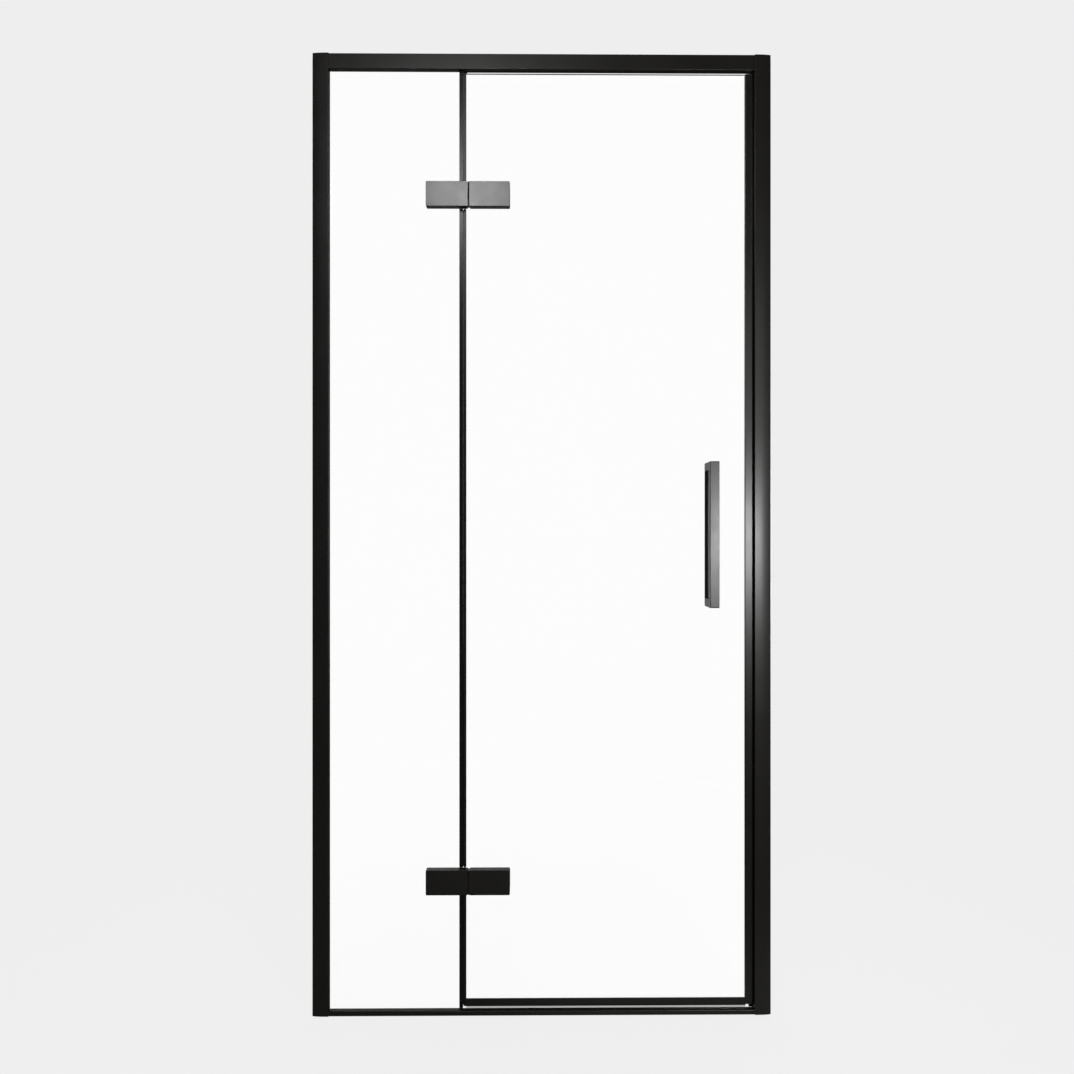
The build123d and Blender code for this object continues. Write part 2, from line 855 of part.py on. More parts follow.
def hinge_leaf_block(left, right, screw_x, centre):
    """Rounded rectangular block of one hinge leaf, with blind threaded holes in its back."""
    with BuildPart() as block:
        with BuildSketch(Plane.XZ.offset(-hinge_back)):
            with Locations(((left + right) / 2, centre)):
                RectangleRounded(right - left, hinge_height, hinge_corner_radius)
        extrude(amount=hinge_body_depth)
        front_face = block.faces().sort_by(Axis.Y)[0]
        fillet(front_face.edges(), radius=hinge_edge_radius)
        with BuildSketch(Plane.XZ.offset(-hinge_back)):
            with Locations(*clamp_places(screw_x, centre)):
                Circle(clamp_screw_radius + screw_clearance)
        extrude(amount=clamp_screw_bite + pin_end_gap, mode=Mode.SUBTRACT)
    return block.part


def fixed_block(centre):
    """Fixed hinge block, with two knuckles that reach round the pin."""
    knuckle_bottom = moving_knuckle_height / 2 + knuckle_end_gap
    knuckle_height = half_hinge - pin_end_gap - knuckle_bottom
    web_front = pin_y + knuckle_clearance
    web_back = pin_y + knuckle_radius
    with BuildPart() as block:
        add(hinge_leaf_block(fixed_leaf_left, fixed_leaf_right, fixed_screw_x, centre))
        for low in (centre + knuckle_bottom, centre - knuckle_bottom - knuckle_height):
            with BuildSketch(Plane.XY.offset(low)):
                with Locations((pin_x, pin_y)):
                    Circle(knuckle_radius)
                with Locations(((pin_x + fixed_leaf_right) / 2, (web_front + web_back) / 2)):
                    Rectangle(pin_x - fixed_leaf_right + knuckle_clearance, web_back - web_front)
                with Locations((pin_x, pin_y)):
                    Circle(pin_radius + pin_clearance, mode=Mode.SUBTRACT)
            extrude(amount=knuckle_height)
    return block


def moving_block(centre):
    """Moving hinge block, with a middle knuckle and room for the fixed knuckles above and below."""
    half_knuckle = moving_knuckle_height / 2
    relief_height = half_hinge - half_knuckle
    with BuildPart() as block:
        add(hinge_leaf_block(pin_x, moving_leaf_right, moving_screw_x, centre))
        with BuildSketch(Plane.XY.offset(centre)):
            with Locations((pin_x, pin_y)):
                Circle(knuckle_radius)
        extrude(amount=half_knuckle, both=True)
        for low in (centre + half_knuckle, centre - half_hinge):
            with BuildSketch(Plane.XY.offset(low)):
                with Locations((pin_x, pin_y)):
                    Circle(knuckle_radius + knuckle_clearance)
            extrude(amount=relief_height, mode=Mode.SUBTRACT)
        with BuildSketch(Plane.XY.offset(centre)):
            with Locations((pin_x, pin_y)):
                Circle(pin_radius + pin_clearance)
        extrude(amount=half_knuckle, both=True, mode=Mode.SUBTRACT)
    return block


def hinge_pin(centre):
    """Steel pin through all three knuckles."""
    half_length = half_hinge - pin_end_gap
    with BuildPart() as pin:
        with BuildSketch(Plane.XY.offset(centre)):
            with Locations((pin_x, pin_y)):
                Circle(pin_radius)
        extrude(amount=half_length, both=True)
        ends = pin.faces().filter_by(Axis.Z)
        chamfer(ends.edges(), length=pin_edge_chamfer)
    return pin


def back_plate(left, right, screw_x, centre):
    """Rear clamp plate of a hinge leaf, countersunk for its screws."""
    with BuildPart() as plate:
        with BuildSketch(Plane.XZ.offset(-plate_back)):
            with Locations(((left + right) / 2, centre)):
                RectangleRounded(right - left, hinge_plate_height, hinge_corner_radius)
        extrude(amount=hinge_plate)
        rear_face = plate.faces().sort_by(Axis.Y)[-1]
        fillet(rear_face.edges(), radius=hinge_edge_radius)
        with Locations(Plane.XZ.offset(-plate_back)):
            with Locations(*clamp_places(screw_x, centre)):
                Cone(
                    bottom_radius=clamp_screw_head_radius + screw_clearance,
                    top_radius=clamp_screw_radius + screw_clearance,
                    height=clamp_screw_head_radius - clamp_screw_radius,
                    align=(Align.CENTER, Align.CENTER, Align.MIN),
                    mode=Mode.SUBTRACT,
                )
                Cylinder(
                    radius=clamp_screw_radius + screw_clearance,
                    height=hinge_plate,
                    align=(Align.CENTER, Align.CENTER, Align.MIN),
                    mode=Mode.SUBTRACT,
                )
    return plate


def clamp_screws(screw_x, centre):
    """Countersunk screws that draw the rear plate and the block together on the glass."""
    head_height = clamp_screw_head_radius - clamp_screw_radius
    length = plate_back - hinge_back + clamp_screw_bite
    with BuildPart() as screws:
        with Locations(Plane.XZ.offset(-plate_back)):
            with Locations(*clamp_places(screw_x, centre)):
                Cone(
                    bottom_radius=clamp_screw_head_radius,
                    top_radius=clamp_screw_radius,
                    height=head_height,
                    align=(Align.CENTER, Align.CENTER, Align.MIN),
                )
                Cylinder(
                    radius=clamp_screw_radius,
                    height=length,
                    align=(Align.CENTER, Align.CENTER, Align.MIN),
                )
    return screws


def clamp_gaskets(front_range, rear_range, screw_x, centre):
    """Gaskets on both faces of the glass, the front one with sleeves through the glass holes."""
    bore = clamp_screw_radius + glass_hole_clearance
    pads = (
        (-half_glass - hinge_gasket, front_range, hinge_height),
        (half_glass, rear_range, hinge_plate_height),
    )
    with BuildPart() as gaskets:
        for face, (left, right), cover in pads:
            width = right - left - 2 * hinge_gasket_margin
            height = cover - 2 * hinge_gasket_margin
            with BuildSketch(Plane.XZ.offset(-face)):
                with Locations(((left + right) / 2, centre)):
                    RectangleRounded(width, height, hinge_corner_radius)
                with Locations(*clamp_places(screw_x, centre)):
                    Circle(bore, mode=Mode.SUBTRACT)
            extrude(amount=-hinge_gasket)
        with BuildSketch(Plane.XZ.offset(half_glass)):
            with Locations(*clamp_places(screw_x, centre)):
                Circle(clamp_sleeve_radius)
                Circle(bore, mode=Mode.SUBTRACT)
        extrude(amount=-(glass_thickness - glass_hole_clearance))
    return gaskets


def handle_grip():
    """Rectangular loop of flat bar with two posts, eased on all its outer edges."""
    post_end = handle_plate_front
    bar_back = handle_front + handle_bar_depth
    section = [
        (post_end, handle_bottom),
        (handle_front, handle_bottom),
        (handle_front, handle_top),
        (post_end, handle_top),
        (post_end, handle_top - handle_post),
        (bar_back, handle_top - handle_post),
        (bar_back, handle_bottom + handle_post),
        (post_end, handle_bottom + handle_post),
    ]
    left = handle_x - handle_width / 2
    with BuildPart() as grip:
        with BuildSketch(Plane.YZ.offset(left)) as outline:
            with BuildLine():
                Polyline(section, close=True)
            make_face()
            for y, z, radius in (
                (handle_front, handle_bottom, handle_outer_radius),
                (handle_front, handle_top, handle_outer_radius),
                (bar_back, handle_top - handle_post, handle_inner_radius),
                (bar_back, handle_bottom + handle_post, handle_inner_radius),
            ):
                fillet(outline.vertices().sort_by_distance((y, z))[0], radius=radius)
        extrude(amount=handle_width)
        sides_of_bar = grip.faces().filter_by(Axis.X)
        outer_edges = sides_of_bar.edges().filter_by(lambda edge: edge.center().Y < post_end - 0.1)
        fillet(outer_edges, radius=handle_edge_radius)
        with BuildSketch(Plane.XZ.offset(-post_end)):
            with Locations(*[(handle_x, height) for height in handle_screw_heights]):
                Circle(handle_screw_radius + screw_clearance)
        extrude(amount=handle_screw_bite + pin_end_gap, mode=Mode.SUBTRACT)
    return grip


def handle_backplate():
    """Flat plate between the handle and the glass."""
    with BuildPart() as plate:
        with BuildSketch(Plane.XZ.offset(half_glass)):
            with Locations((handle_x, handle_centre_height)):
                Rectangle(handle_width, handle_length)
            with Locations(*[(handle_x, height) for height in handle_screw_heights]):
                Circle(handle_screw_radius + glass_hole_clearance, mode=Mode.SUBTRACT)
        extrude(amount=handle_plate)
        fillet(plate.edges().filter_by(Axis.Y), radius=handle_outer_radius)
    return plate


def handle_screws():
    """Pan-head screws from inside the shower into the handle's posts."""
    seat = half_glass + handle_washer
    shank = seat - handle_plate_front + handle_screw_bite
    with BuildPart() as screws:
        with BuildSketch(Plane.XZ.offset(-seat)):
            with Locations(*[(handle_x, height) for height in handle_screw_heights]):
                Circle(handle_screw_head_radius)
        extrude(amount=-handle_screw_head_height)
        with BuildSketch(Plane.XZ.offset(-seat)):
            with Locations(*[(handle_x, height) for height in handle_screw_heights]):
                Circle(handle_screw_radius)
        extrude(amount=shank)
    return screws


def handle_washers():
    """Nylon washers with sleeves through the glass."""
    bore = handle_screw_radius + glass_hole_clearance
    places = [(handle_x, height) for height in handle_screw_heights]
    with BuildPart() as washers:
        with BuildSketch(Plane.XZ.offset(-half_glass)):
            with Locations(*places):
                Circle(handle_cap_radius)
                Circle(bore, mode=Mode.SUBTRACT)
        extrude(amount=-handle_washer)
        with BuildSketch(Plane.XZ.offset(-half_glass)):
            with Locations(*places):
                Circle(handle_sleeve_radius)
                Circle(bore, mode=Mode.SUBTRACT)
        extrude(amount=glass_thickness - glass_hole_clearance)
    return washers


def handle_caps():
    """Turned caps over the screw heads inside the shower."""
    seat = half_glass + handle_washer
    cavity = handle_screw_head_radius + handle_edge_radius / 2
    places = [(handle_x, height) for height in handle_screw_heights]
    with BuildPart() as caps:
        with BuildSketch(Plane.XZ.offset(-seat)):
            with Locations(*places):
                Circle(handle_cap_radius)
        extrude(amount=-handle_cap_height)
        ends = caps.faces().filter_by(Axis.Y).sort_by(Axis.Y)[-2:]
        chamfer(ends.edges(), length=cap_edge_chamfer)
        with BuildSketch(Plane.XZ.offset(-seat)):
            with Locations(*places):
                Circle(cavity)
        extrude(amount=-(handle_screw_head_height + screw_clearance), mode=Mode.SUBTRACT)
    return caps


# Frame
for side_name, side_sign in sides.items():
    write(wall_channel(side_sign), f"wall_channel_{side_name}")
    write(jamb(side_sign), f"jamb_{side_name}")
    write(jamb_cap(side_sign), f"jamb_cap_{side_name}")
    write(corner_key(side_sign), f"corner_key_{side_name}")
    write(jamb_screws(side_sign), f"jamb_screws_{side_name}")
    write(jamb_screw_caps(side_sign), f"jamb_screw_caps_{side_name}")
write(header_rail(), "header")
write(sill_rail(), "sill")
write(frame_corner_screws(), "frame_corner_screws")

# Fixed light
fixed_glass_left = -jamb_inner - jamb_face + wall_pocket_depth + profile_wall + glass_jamb_clearance
fixed_pane = glass_pane(
    fixed_glass_left, fixed_glass_right, fixed_glass_bottom, fixed_glass_top, fixed_screw_x
)
write(fixed_pane, "fixed_glass")
write(jamb_glazing_gasket(), "jamb_glazing_gasket")
write(header_glazing_gasket(), "header_glazing_gasket")
write(sill_glazing_gasket(), "sill_glazing_gasket")
profile_bottom = sill_height + rail_end_clearance
profile_top = header_bottom - rail_end_clearance
for span_name, (span_bottom, span_top) in upright_spans(profile_bottom, profile_top).items():
    write(fixed_edge_profile(span_bottom, span_top), f"fixed_edge_profile_{span_name}")

# Closing side and head of the doorway
write(strike_profile(), "strike_profile")
write(strike_magnet(), "strike_magnet")
write(header_door_seal(), "header_door_seal")

# Door leaf
door_pane = glass_pane(
    door_glass_left,
    door_glass_right,
    door_glass_bottom,
    glass_top,
    moving_screw_x,
    [(handle_x, height) for height in handle_screw_heights],
)
write(door_pane, "door_glass")
write(closing_profile(), "door_closing_profile")
write(door_magnet(), "door_magnet")
write(bottom_profile(), "door_bottom_profile")
write(bottom_sweep(), "door_bottom_sweep")
for span_name, (span_bottom, span_top) in upright_spans(bottom_profile_bottom, glass_top).items():
    write(door_edge_seal(span_bottom, span_top), f"door_edge_seal_{span_name}")

# Hinges
fixed_plate_right = fixed_glass_right - back_plate_edge_margin
moving_plate_left = door_glass_left + back_plate_edge_margin
fixed_plate = (fixed_leaf_left, fixed_plate_right)
moving_plate = (moving_plate_left, moving_leaf_right)
hinge_leaves = {
    "fixed": (fixed_plate, fixed_plate, fixed_screw_x),
    "moving": ((pin_x, moving_leaf_right), moving_plate, moving_screw_x),
}
for hinge_name, hinge_z in hinge_centres.items():
    prefix = f"{hinge_name}_hinge"
    write(fixed_block(hinge_z), f"{prefix}_fixed_block")
    write(moving_block(hinge_z), f"{prefix}_moving_block")
    write(hinge_pin(hinge_z), f"{prefix}_pin")
    for leaf_name, (block_range, plate_range, screw_x) in hinge_leaves.items():
        write(back_plate(*plate_range, screw_x, hinge_z), f"{prefix}_{leaf_name}_back_plate")
        leaf_gaskets = clamp_gaskets(block_range, plate_range, screw_x, hinge_z)
        write(leaf_gaskets, f"{prefix}_{leaf_name}_gaskets")
        write(clamp_screws(screw_x, hinge_z), f"{prefix}_{leaf_name}_screws")

# Handle
write(handle_grip(), "handle_grip")
write(handle_backplate(), "handle_backplate")
write(handle_screws(), "handle_screws")
write(handle_washers(), "handle_washers")
write(handle_caps(), "handle_caps")
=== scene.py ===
"""Framed recess shower door: finishes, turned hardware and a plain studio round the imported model.

Metres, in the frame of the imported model: X runs right along the opening, Y into the shower, Z up.
"""

import logging
import math
from dataclasses import dataclass
from enum import Enum
from typing import Any, Mapping, Optional, Sequence

import bmesh
import bpy
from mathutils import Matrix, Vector


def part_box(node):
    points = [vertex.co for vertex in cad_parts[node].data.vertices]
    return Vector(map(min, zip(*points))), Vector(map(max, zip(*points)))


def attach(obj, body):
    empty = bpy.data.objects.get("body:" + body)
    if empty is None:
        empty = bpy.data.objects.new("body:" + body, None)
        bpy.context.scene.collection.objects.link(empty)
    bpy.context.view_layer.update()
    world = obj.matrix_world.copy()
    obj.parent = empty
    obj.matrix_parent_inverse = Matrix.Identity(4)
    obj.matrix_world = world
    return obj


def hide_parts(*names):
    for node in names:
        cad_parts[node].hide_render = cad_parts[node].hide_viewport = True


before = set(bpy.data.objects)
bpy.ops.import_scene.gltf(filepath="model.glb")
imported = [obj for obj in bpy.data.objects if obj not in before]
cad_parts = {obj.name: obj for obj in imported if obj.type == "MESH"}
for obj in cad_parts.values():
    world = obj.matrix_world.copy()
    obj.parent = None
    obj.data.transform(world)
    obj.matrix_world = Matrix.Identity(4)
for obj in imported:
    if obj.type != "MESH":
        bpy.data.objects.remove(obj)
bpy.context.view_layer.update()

log = logging.getLogger("shower_door")

MM = 0.001
SHARP_ANGLE = math.radians(32)
SIDES = ("left", "right")
SPANS = ("lower", "middle", "upper")
# Sockets of the Mix node by number, because their names repeat
LEVEL_A, LEVEL_B = 2, 3
COLOUR_A, COLOUR_B, MIXED_COLOUR = 6, 7, 2


def linear(hex_colour: str) -> tuple[float, float, float, float]:
    """Turn an sRGB hex colour into linear light.

    Args:
        hex_colour: Six hex digits after a hash, such as "#1A1918".

    Returns:
        Red, green, blue and an alpha of 1.
    """
    channels = [int(hex_colour[i : i + 2], 16) / 255 for i in (1, 3, 5)]
    red, green, blue = (
        c / 12.92 if c <= 0.04045 else ((c + 0.055) / 1.055) ** 2.4 for c in channels
    )
    return red, green, blue, 1.0


def add(
    tree: bpy.types.NodeTree,
    kind: str,
    inputs: Optional[Mapping[Any, Any]] = None,
    **settings: Any,
) -> bpy.types.Node:
    """Add one node, set its properties, and fill or link its inputs.

    Args:
        tree: The node tree that gets the node.
        kind: The node's type identifier.
        inputs: Socket name or index to a value, or to the output socket that feeds it.
        **settings: Properties of the node itself.

    Returns:
        The new node.
    """
    made = tree.nodes.new(kind)
    for name, value in settings.items():
        setattr(made, name, value)
    for key, value in (inputs or {}).items():
        if isinstance(value, bpy.types.NodeSocket):
            tree.links.new(value, made.inputs[key])
        else:
            made.inputs[key].default_value = value
    return made


def blank_material(name: str) -> bpy.types.Material:
    """Make a material with an empty node tree.

    Args:
        name: The material's name.

    Returns:
        The material.
    """
    made = bpy.data.materials.new(name)
    made.use_nodes = True
    made.node_tree.nodes.clear()
    return made


class Grain(Enum):
    """How a surface was made, which decides the pattern of its relief."""

    SPRAYED = "sprayed"
    BRUSHED = "brushed"
    MOULDED = "moulded"


@dataclass(frozen=True)
class Surface:
    """One opaque finish: its colour, gloss and the fine relief its making leaves."""

    name: str
    colour: str
    roughness: float
    roughness_spread: float
    grain: Grain
    grain_mm: tuple[float, float, float]
    relief_mm: float
    metallic: float = 0.0
    specular: float = 0.5
    patch_mm: float = 90.0
    patch_range: tuple[float, float] = (0.3, 0.7)
    patch_detail: float = 3.0
    patch_roughness: float = 0.55
    pale_patch: float = 1.25
    brushed_detail: float = 4.0
    sprayed_detail: float = 1.5

    def material(self) -> bpy.types.Material:
        """Build the node material.

        Returns:
            The material, with a bump and a roughness that vary over the surface.
        """
        made = blank_material(self.name)
        tree = made.node_tree
        place = add(tree, "ShaderNodeTexCoord").outputs["Object"]
        scale = [1 / (size * MM) for size in self.grain_mm]
        stretched = add(tree, "ShaderNodeMapping", {"Vector": place, "Scale": scale})
        relief = self.relief_height(tree, stretched.outputs["Vector"])
        patches = add(
            tree,
            "ShaderNodeTexNoise",
            {
                "Vector": place,
                "Scale": 1 / (self.patch_mm * MM),
                "Detail": self.patch_detail,
                "Roughness": self.patch_roughness,
            },
        )
        gloss = add(
            tree,
            "ShaderNodeMapRange",
            {
                "Value": patches.outputs[0],
                "From Min": self.patch_range[0],
                "From Max": self.patch_range[1],
                "To Min": self.roughness - self.roughness_spread,
                "To Max": self.roughness + self.roughness_spread,
            },
        )
        bump = add(
            tree,
            "ShaderNodeBump",
            {"Height": relief, "Strength": 1.0, "Distance": self.relief_mm * MM},
        )
        base = linear(self.colour)
        pale = tuple(min(1.0, c * self.pale_patch) for c in base[:3]) + (1.0,)
        tone = add(
            tree,
            "ShaderNodeMix",
            {"Factor": patches.outputs[0], COLOUR_A: base, COLOUR_B: pale},
            data_type="RGBA",
        )
        shader = add(
            tree,
            "ShaderNodeBsdfPrincipled",
            {
                "Base Color": tone.outputs[MIXED_COLOUR],
                "Metallic": self.metallic,
                "Roughness": gloss.outputs[0],
                "Specular IOR Level": self.specular,
                "Normal": bump.outputs[0],
            },
        )
        add(tree, "ShaderNodeOutputMaterial", {"Surface": shader.outputs[0]})
        return made

    def relief_height(
        self, tree: bpy.types.NodeTree, place: bpy.types.NodeSocket
    ) -> bpy.types.NodeSocket:
        """Add the nodes of the relief.

        Args:
            tree: The material's node tree.
            place: The position, already scaled to the grain's size.

        Returns:
            The socket that carries the height, from 0 to 1.
        """
        if self.grain is Grain.MOULDED:
            cells = add(tree, "ShaderNodeTexVoronoi", {"Vector": place, "Scale": 1.0})
            return cells.outputs[0]
        detail = self.brushed_detail if self.grain is Grain.BRUSHED else self.sprayed_detail
        noise = add(
            tree, "ShaderNodeTexNoise", {"Vector": place, "Scale": 1.0, "Detail": detail}
        )
        return noise.outputs[0]


@dataclass(frozen=True)
class SafetyGlass:
    """Clear toughened glass: colourless through its faces, faintly green at its polished edges."""

    name: str = "toughened_clear_float_glass"
    face_colour: str = "#FEFEFE"
    edge_colour: str = "#BFDCCF"
    ior: float = 1.52
    ripple_mm: float = 220.0
    ripple_depth_mm: float = 0.004
    ripple_detail: float = 1.0

    def material(self) -> bpy.types.Material:
        """Build the node material, with the slight roller wave that toughening leaves.

        Returns:
            The material.
        """
        made = blank_material(self.name)
        tree = made.node_tree
        coordinates = add(tree, "ShaderNodeTexCoord")
        facing = add(tree, "ShaderNodeSeparateXYZ", {0: coordinates.outputs["Normal"]})
        side = add(tree, "ShaderNodeMath", {0: facing.outputs["Y"]}, operation="ABSOLUTE")
        tint = add(
            tree,
            "ShaderNodeMix",
            {
                "Factor": side.outputs[0],
                COLOUR_A: linear(self.edge_colour),
                COLOUR_B: linear(self.face_colour),
            },
            data_type="RGBA",
        )
        wave = add(
            tree,
            "ShaderNodeTexNoise",
            {
                "Vector": coordinates.outputs["Object"],
                "Scale": 1 / (self.ripple_mm * MM),
                "Detail": self.ripple_detail,
            },
        )
        bump = add(
            tree,
            "ShaderNodeBump",
            {
                "Height": wave.outputs[0],
                "Strength": 1.0,
                "Distance": self.ripple_depth_mm * MM,
            },
        )
        shader = add(
            tree,
            "ShaderNodeBsdfPrincipled",
            {
                "Base Color": tint.outputs[MIXED_COLOUR],
                "Roughness": 0.0,
                "IOR": self.ior,
                "Transmission Weight": 1.0,
                "Normal": bump.outputs[0],
            },
        )
        add(tree, "ShaderNodeOutputMaterial", {"Surface": shader.outputs[0]})
        return made


@dataclass(frozen=True)
class SmokedVinyl:
    """Soft PVC of the door's bottom sweep: smoke grey, and it lets the light through."""

    name: str = "smoke_grey_translucent_soft_pvc"
    colour: str = "#B2B2B0"
    ior: float = 1.53
    gloss_range: tuple[float, float] = (0.16, 0.26)
    die_line_mm: tuple[float, float, float] = (80.0, 0.7, 0.7)
    die_line_depth_mm: float = 0.003
    die_line_detail: float = 2.0

    def material(self) -> bpy.types.Material:
        """Build the node material, with the fine lines that the die leaves along the length.

        Returns:
            The material.
        """
        made = blank_material(self.name)
        tree = made.node_tree
        place = add(tree, "ShaderNodeTexCoord").outputs["Object"]
        scale = [1 / (size * MM) for size in self.die_line_mm]
        stretched = add(tree, "ShaderNodeMapping", {"Vector": place, "Scale": scale})
        lines = add(
            tree,
            "ShaderNodeTexNoise",
            {
                "Vector": stretched.outputs["Vector"],
                "Scale": 1.0,
                "Detail": self.die_line_detail,
            },
        )
        gloss = add(
            tree,
            "ShaderNodeMapRange",
            {
                "Value": lines.outputs[0],
                "To Min": self.gloss_range[0],
                "To Max": self.gloss_range[1],
            },
        )
        bump = add(
            tree,
            "ShaderNodeBump",
            {
                "Height": lines.outputs[0],
                "Strength": 1.0,
                "Distance": self.die_line_depth_mm * MM,
            },
        )
        shader = add(
            tree,
            "ShaderNodeBsdfPrincipled",
            {
                "Base Color": linear(self.colour),
                "Roughness": gloss.outputs[0],
                "IOR": self.ior,
                "Transmission Weight": 1.0,
                "Normal": bump.outputs[0],
            },
        )
        add(tree, "ShaderNodeOutputMaterial", {"Surface": shader.outputs[0]})
        return made


# Polyester powder baked on aluminium: near black, satin, with an orange peel of a few millimetres
POWDER_COAT = Surface(
    name="satin_black_powder_coated_aluminium",
    colour="#11100D",
    roughness=0.324,
    roughness_spread=0.02,
    grain=Grain.SPRAYED,
    grain_mm=(3.0, 3.0, 3.0),
    relief_mm=0.012,
    specular=0.5,
)
# Thin anodised extrusion of the slim upright: the same black, with a duller gloss
ANODISED = Surface(
    name="matt_black_anodised_aluminium",
    colour="#0E0D0C",
    roughness=0.28,
    roughness_spread=0.02,
    grain=Grain.BRUSHED,
    grain_mm=(0.9, 0.9, 80.0),
    relief_mm=0.004,
    specular=0.2,
)
# Lacquer over solid brass: a little smoother and cleaner than the powder
HINGE_LACQUER = Surface(
    name="satin_black_lacquered_brass",
    colour="#12110E",
    roughness=0.32,
    roughness_spread=0.02,
    grain=Grain.SPRAYED,
    grain_mm=(2.0, 2.0, 2.0),
    relief_mm=0.006,
    specular=0.63,
    patch_mm=45.0,
)
# Black plating over a bar linished along its length: fine lines that stretch the highlight
HANDLE_BLACK = Surface(
    name="black_plated_linished_bar",
    colour="#141310",
    roughness=0.33,
    roughness_spread=0.03,
    grain=Grain.BRUSHED,
    grain_mm=(1.2, 1.2, 60.0),
    relief_mm=0.006,
    specular=0.55,
    patch_mm=60.0,
)
# Extruded EPDM of gaskets and slot filler: matte and slightly dusty
RUBBER = Surface(
    name="extruded_epdm_rubber",
    colour="#0F0F0F",
    roughness=0.72,
    roughness_spread=0.05,
    grain=Grain.MOULDED,
    grain_mm=(0.8, 0.8, 0.8),
    relief_mm=0.01,
    specular=0.3,
)
# Extruded soft PVC of the door's edge seal: smooth from the die, with a satin skin
EDGE_SEAL_PVC = Surface(
    name="extruded_black_soft_pvc",
    colour="#0F0F0E",
    roughness=0.36,
    roughness_spread=0.03,
    grain=Grain.BRUSHED,
    grain_mm=(1.0, 1.0, 60.0),
    relief_mm=0.004,
    specular=0.3,
)
# Ferrite-filled magnetic strip: brown-black and dull
MAGNET = Surface(
    name="ferrite_magnet_strip",
    colour="#1C1713",
    roughness=0.6,
    roughness_spread=0.05,
    grain=Grain.MOULDED,
    grain_mm=(0.6, 0.6, 0.6),
    relief_mm=0.008,
    specular=0.4,
)
# ABS moulded in a spark-eroded tool: even fine stipple
MOULDED_ABS = Surface(
    name="spark_textured_black_abs",
    colour="#151515",
    roughness=0.5,
    roughness_spread=0.03,
    grain=Grain.MOULDED,
    grain_mm=(0.7, 0.7, 0.7),
    relief_mm=0.02,
    specular=0.5,
)
# Stainless steel turned and left bare: bright, with fine rings softened to short lines
STAINLESS = Surface(
    name="turned_stainless_steel",
    colour="#B9B8B5",
    roughness=0.28,
    roughness_spread=0.05,
    grain=Grain.BRUSHED,
    grain_mm=(0.5, 4.0, 0.5),
    relief_mm=0.004,
    metallic=1.0,
)
# Mill-finish extrusion: dull silver with die lines along its length
MILL_ALUMINIUM = Surface(
    name="mill_finish_extruded_aluminium",
    colour="#C4C6C8",
    roughness=0.42,
    roughness_spread=0.06,
    grain=Grain.BRUSHED,
    grain_mm=(0.8, 0.8, 120.0),
    relief_mm=0.01,
    metallic=1.0,
)
TOUGHENED_GLASS = SafetyGlass()
SMOKED_PVC = SmokedVinyl()
Finish = Surface | SafetyGlass | SmokedVinyl
FINISHES: tuple[Finish, ...] = (
    POWDER_COAT,
    ANODISED,
    HINGE_LACQUER,
    HANDLE_BLACK,
    RUBBER,
    EDGE_SEAL_PVC,
    MAGNET,
    MOULDED_ABS,
    STAINLESS,
    MILL_ALUMINIUM,
    TOUGHENED_GLASS,
    SMOKED_PVC,
)


class Wardrobe:
    """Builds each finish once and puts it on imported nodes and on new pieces."""

    def __init__(self) -> None:
        """Build every material."""
        self.materials = {finish.name: finish.material() for finish in FINISHES}

    def of(self, finish: Finish) -> bpy.types.Material:
        """Return the material of a finish."""
        return self.materials[finish.name]

    def dress(self, nodes: Sequence[str], finish: Finish) -> None:
        """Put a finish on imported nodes.

        Args:
            nodes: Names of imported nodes.
            finish: The finish they get.
        """
        for name in nodes:
            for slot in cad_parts[name].material_slots:
                slot.material = self.of(finish)
        log.info("%s: %s", finish.name, ", ".join(nodes))


@dataclass(frozen=True)
class Ring:
    """One ring of a turned piece: its radius, its place along the axis, and its number of sides."""

    radius: float
    along: float
    hexagonal: bool = False

    def reach(self, angle: float) -> float:
        """Measure from the axis to the ring's edge.

        Args:
            angle: The direction round the axis, in radians.

        Returns:
            The distance, which changes with the angle on a hexagon.
        """
        if not self.hexagonal:
            return self.radius
        sixth = math.pi / 3
        return self.radius / math.cos((angle + sixth / 2) % sixth - sixth / 2)


def as_object(name: str, mesh: bmesh.types.BMesh) -> bpy.types.Object:
    """Turn a finished bmesh into an object of the scene, with its faces outwards.

    Args:
        name: The object's name.
        mesh: The closed mesh, which is freed.

    Returns:
        The object.
    """
    bmesh.ops.recalc_face_normals(mesh, faces=mesh.faces)
    data = bpy.data.meshes.new(name)
    mesh.to_mesh(data)
    mesh.free()
    made = bpy.data.objects.new(name, data)
    bpy.context.scene.collection.objects.link(made)
    return made


def turned_piece(name: str, rings: Sequence[Ring], segments: int = 36) -> bpy.types.Object:
    """Build a closed piece turned about the Y axis.

    Args:
        name: The object's name.
        rings: The outline from one end of the surface to the other, in metres.
        segments: Number of points in a ring, a multiple of six.

    Returns:
        The object.
    """
    mesh = bmesh.new()
    loops = []
    for ring in rings:
        angles = [2 * math.pi * i / segments for i in range(segments)]
        loops.append(
            [
                mesh.verts.new(
                    (ring.reach(a) * math.cos(a), ring.along, ring.reach(a) * math.sin(a))
                )
                for a in angles
            ]
        )
    for first, second in zip(loops, loops[1:]):
        for i in range(segments):
            j = (i + 1) % segments
            mesh.faces.new((first[i], first[j], second[j], second[i]))
    mesh.faces.new(loops[0])
    mesh.faces.new(loops[-1])
    return as_object(name, mesh)


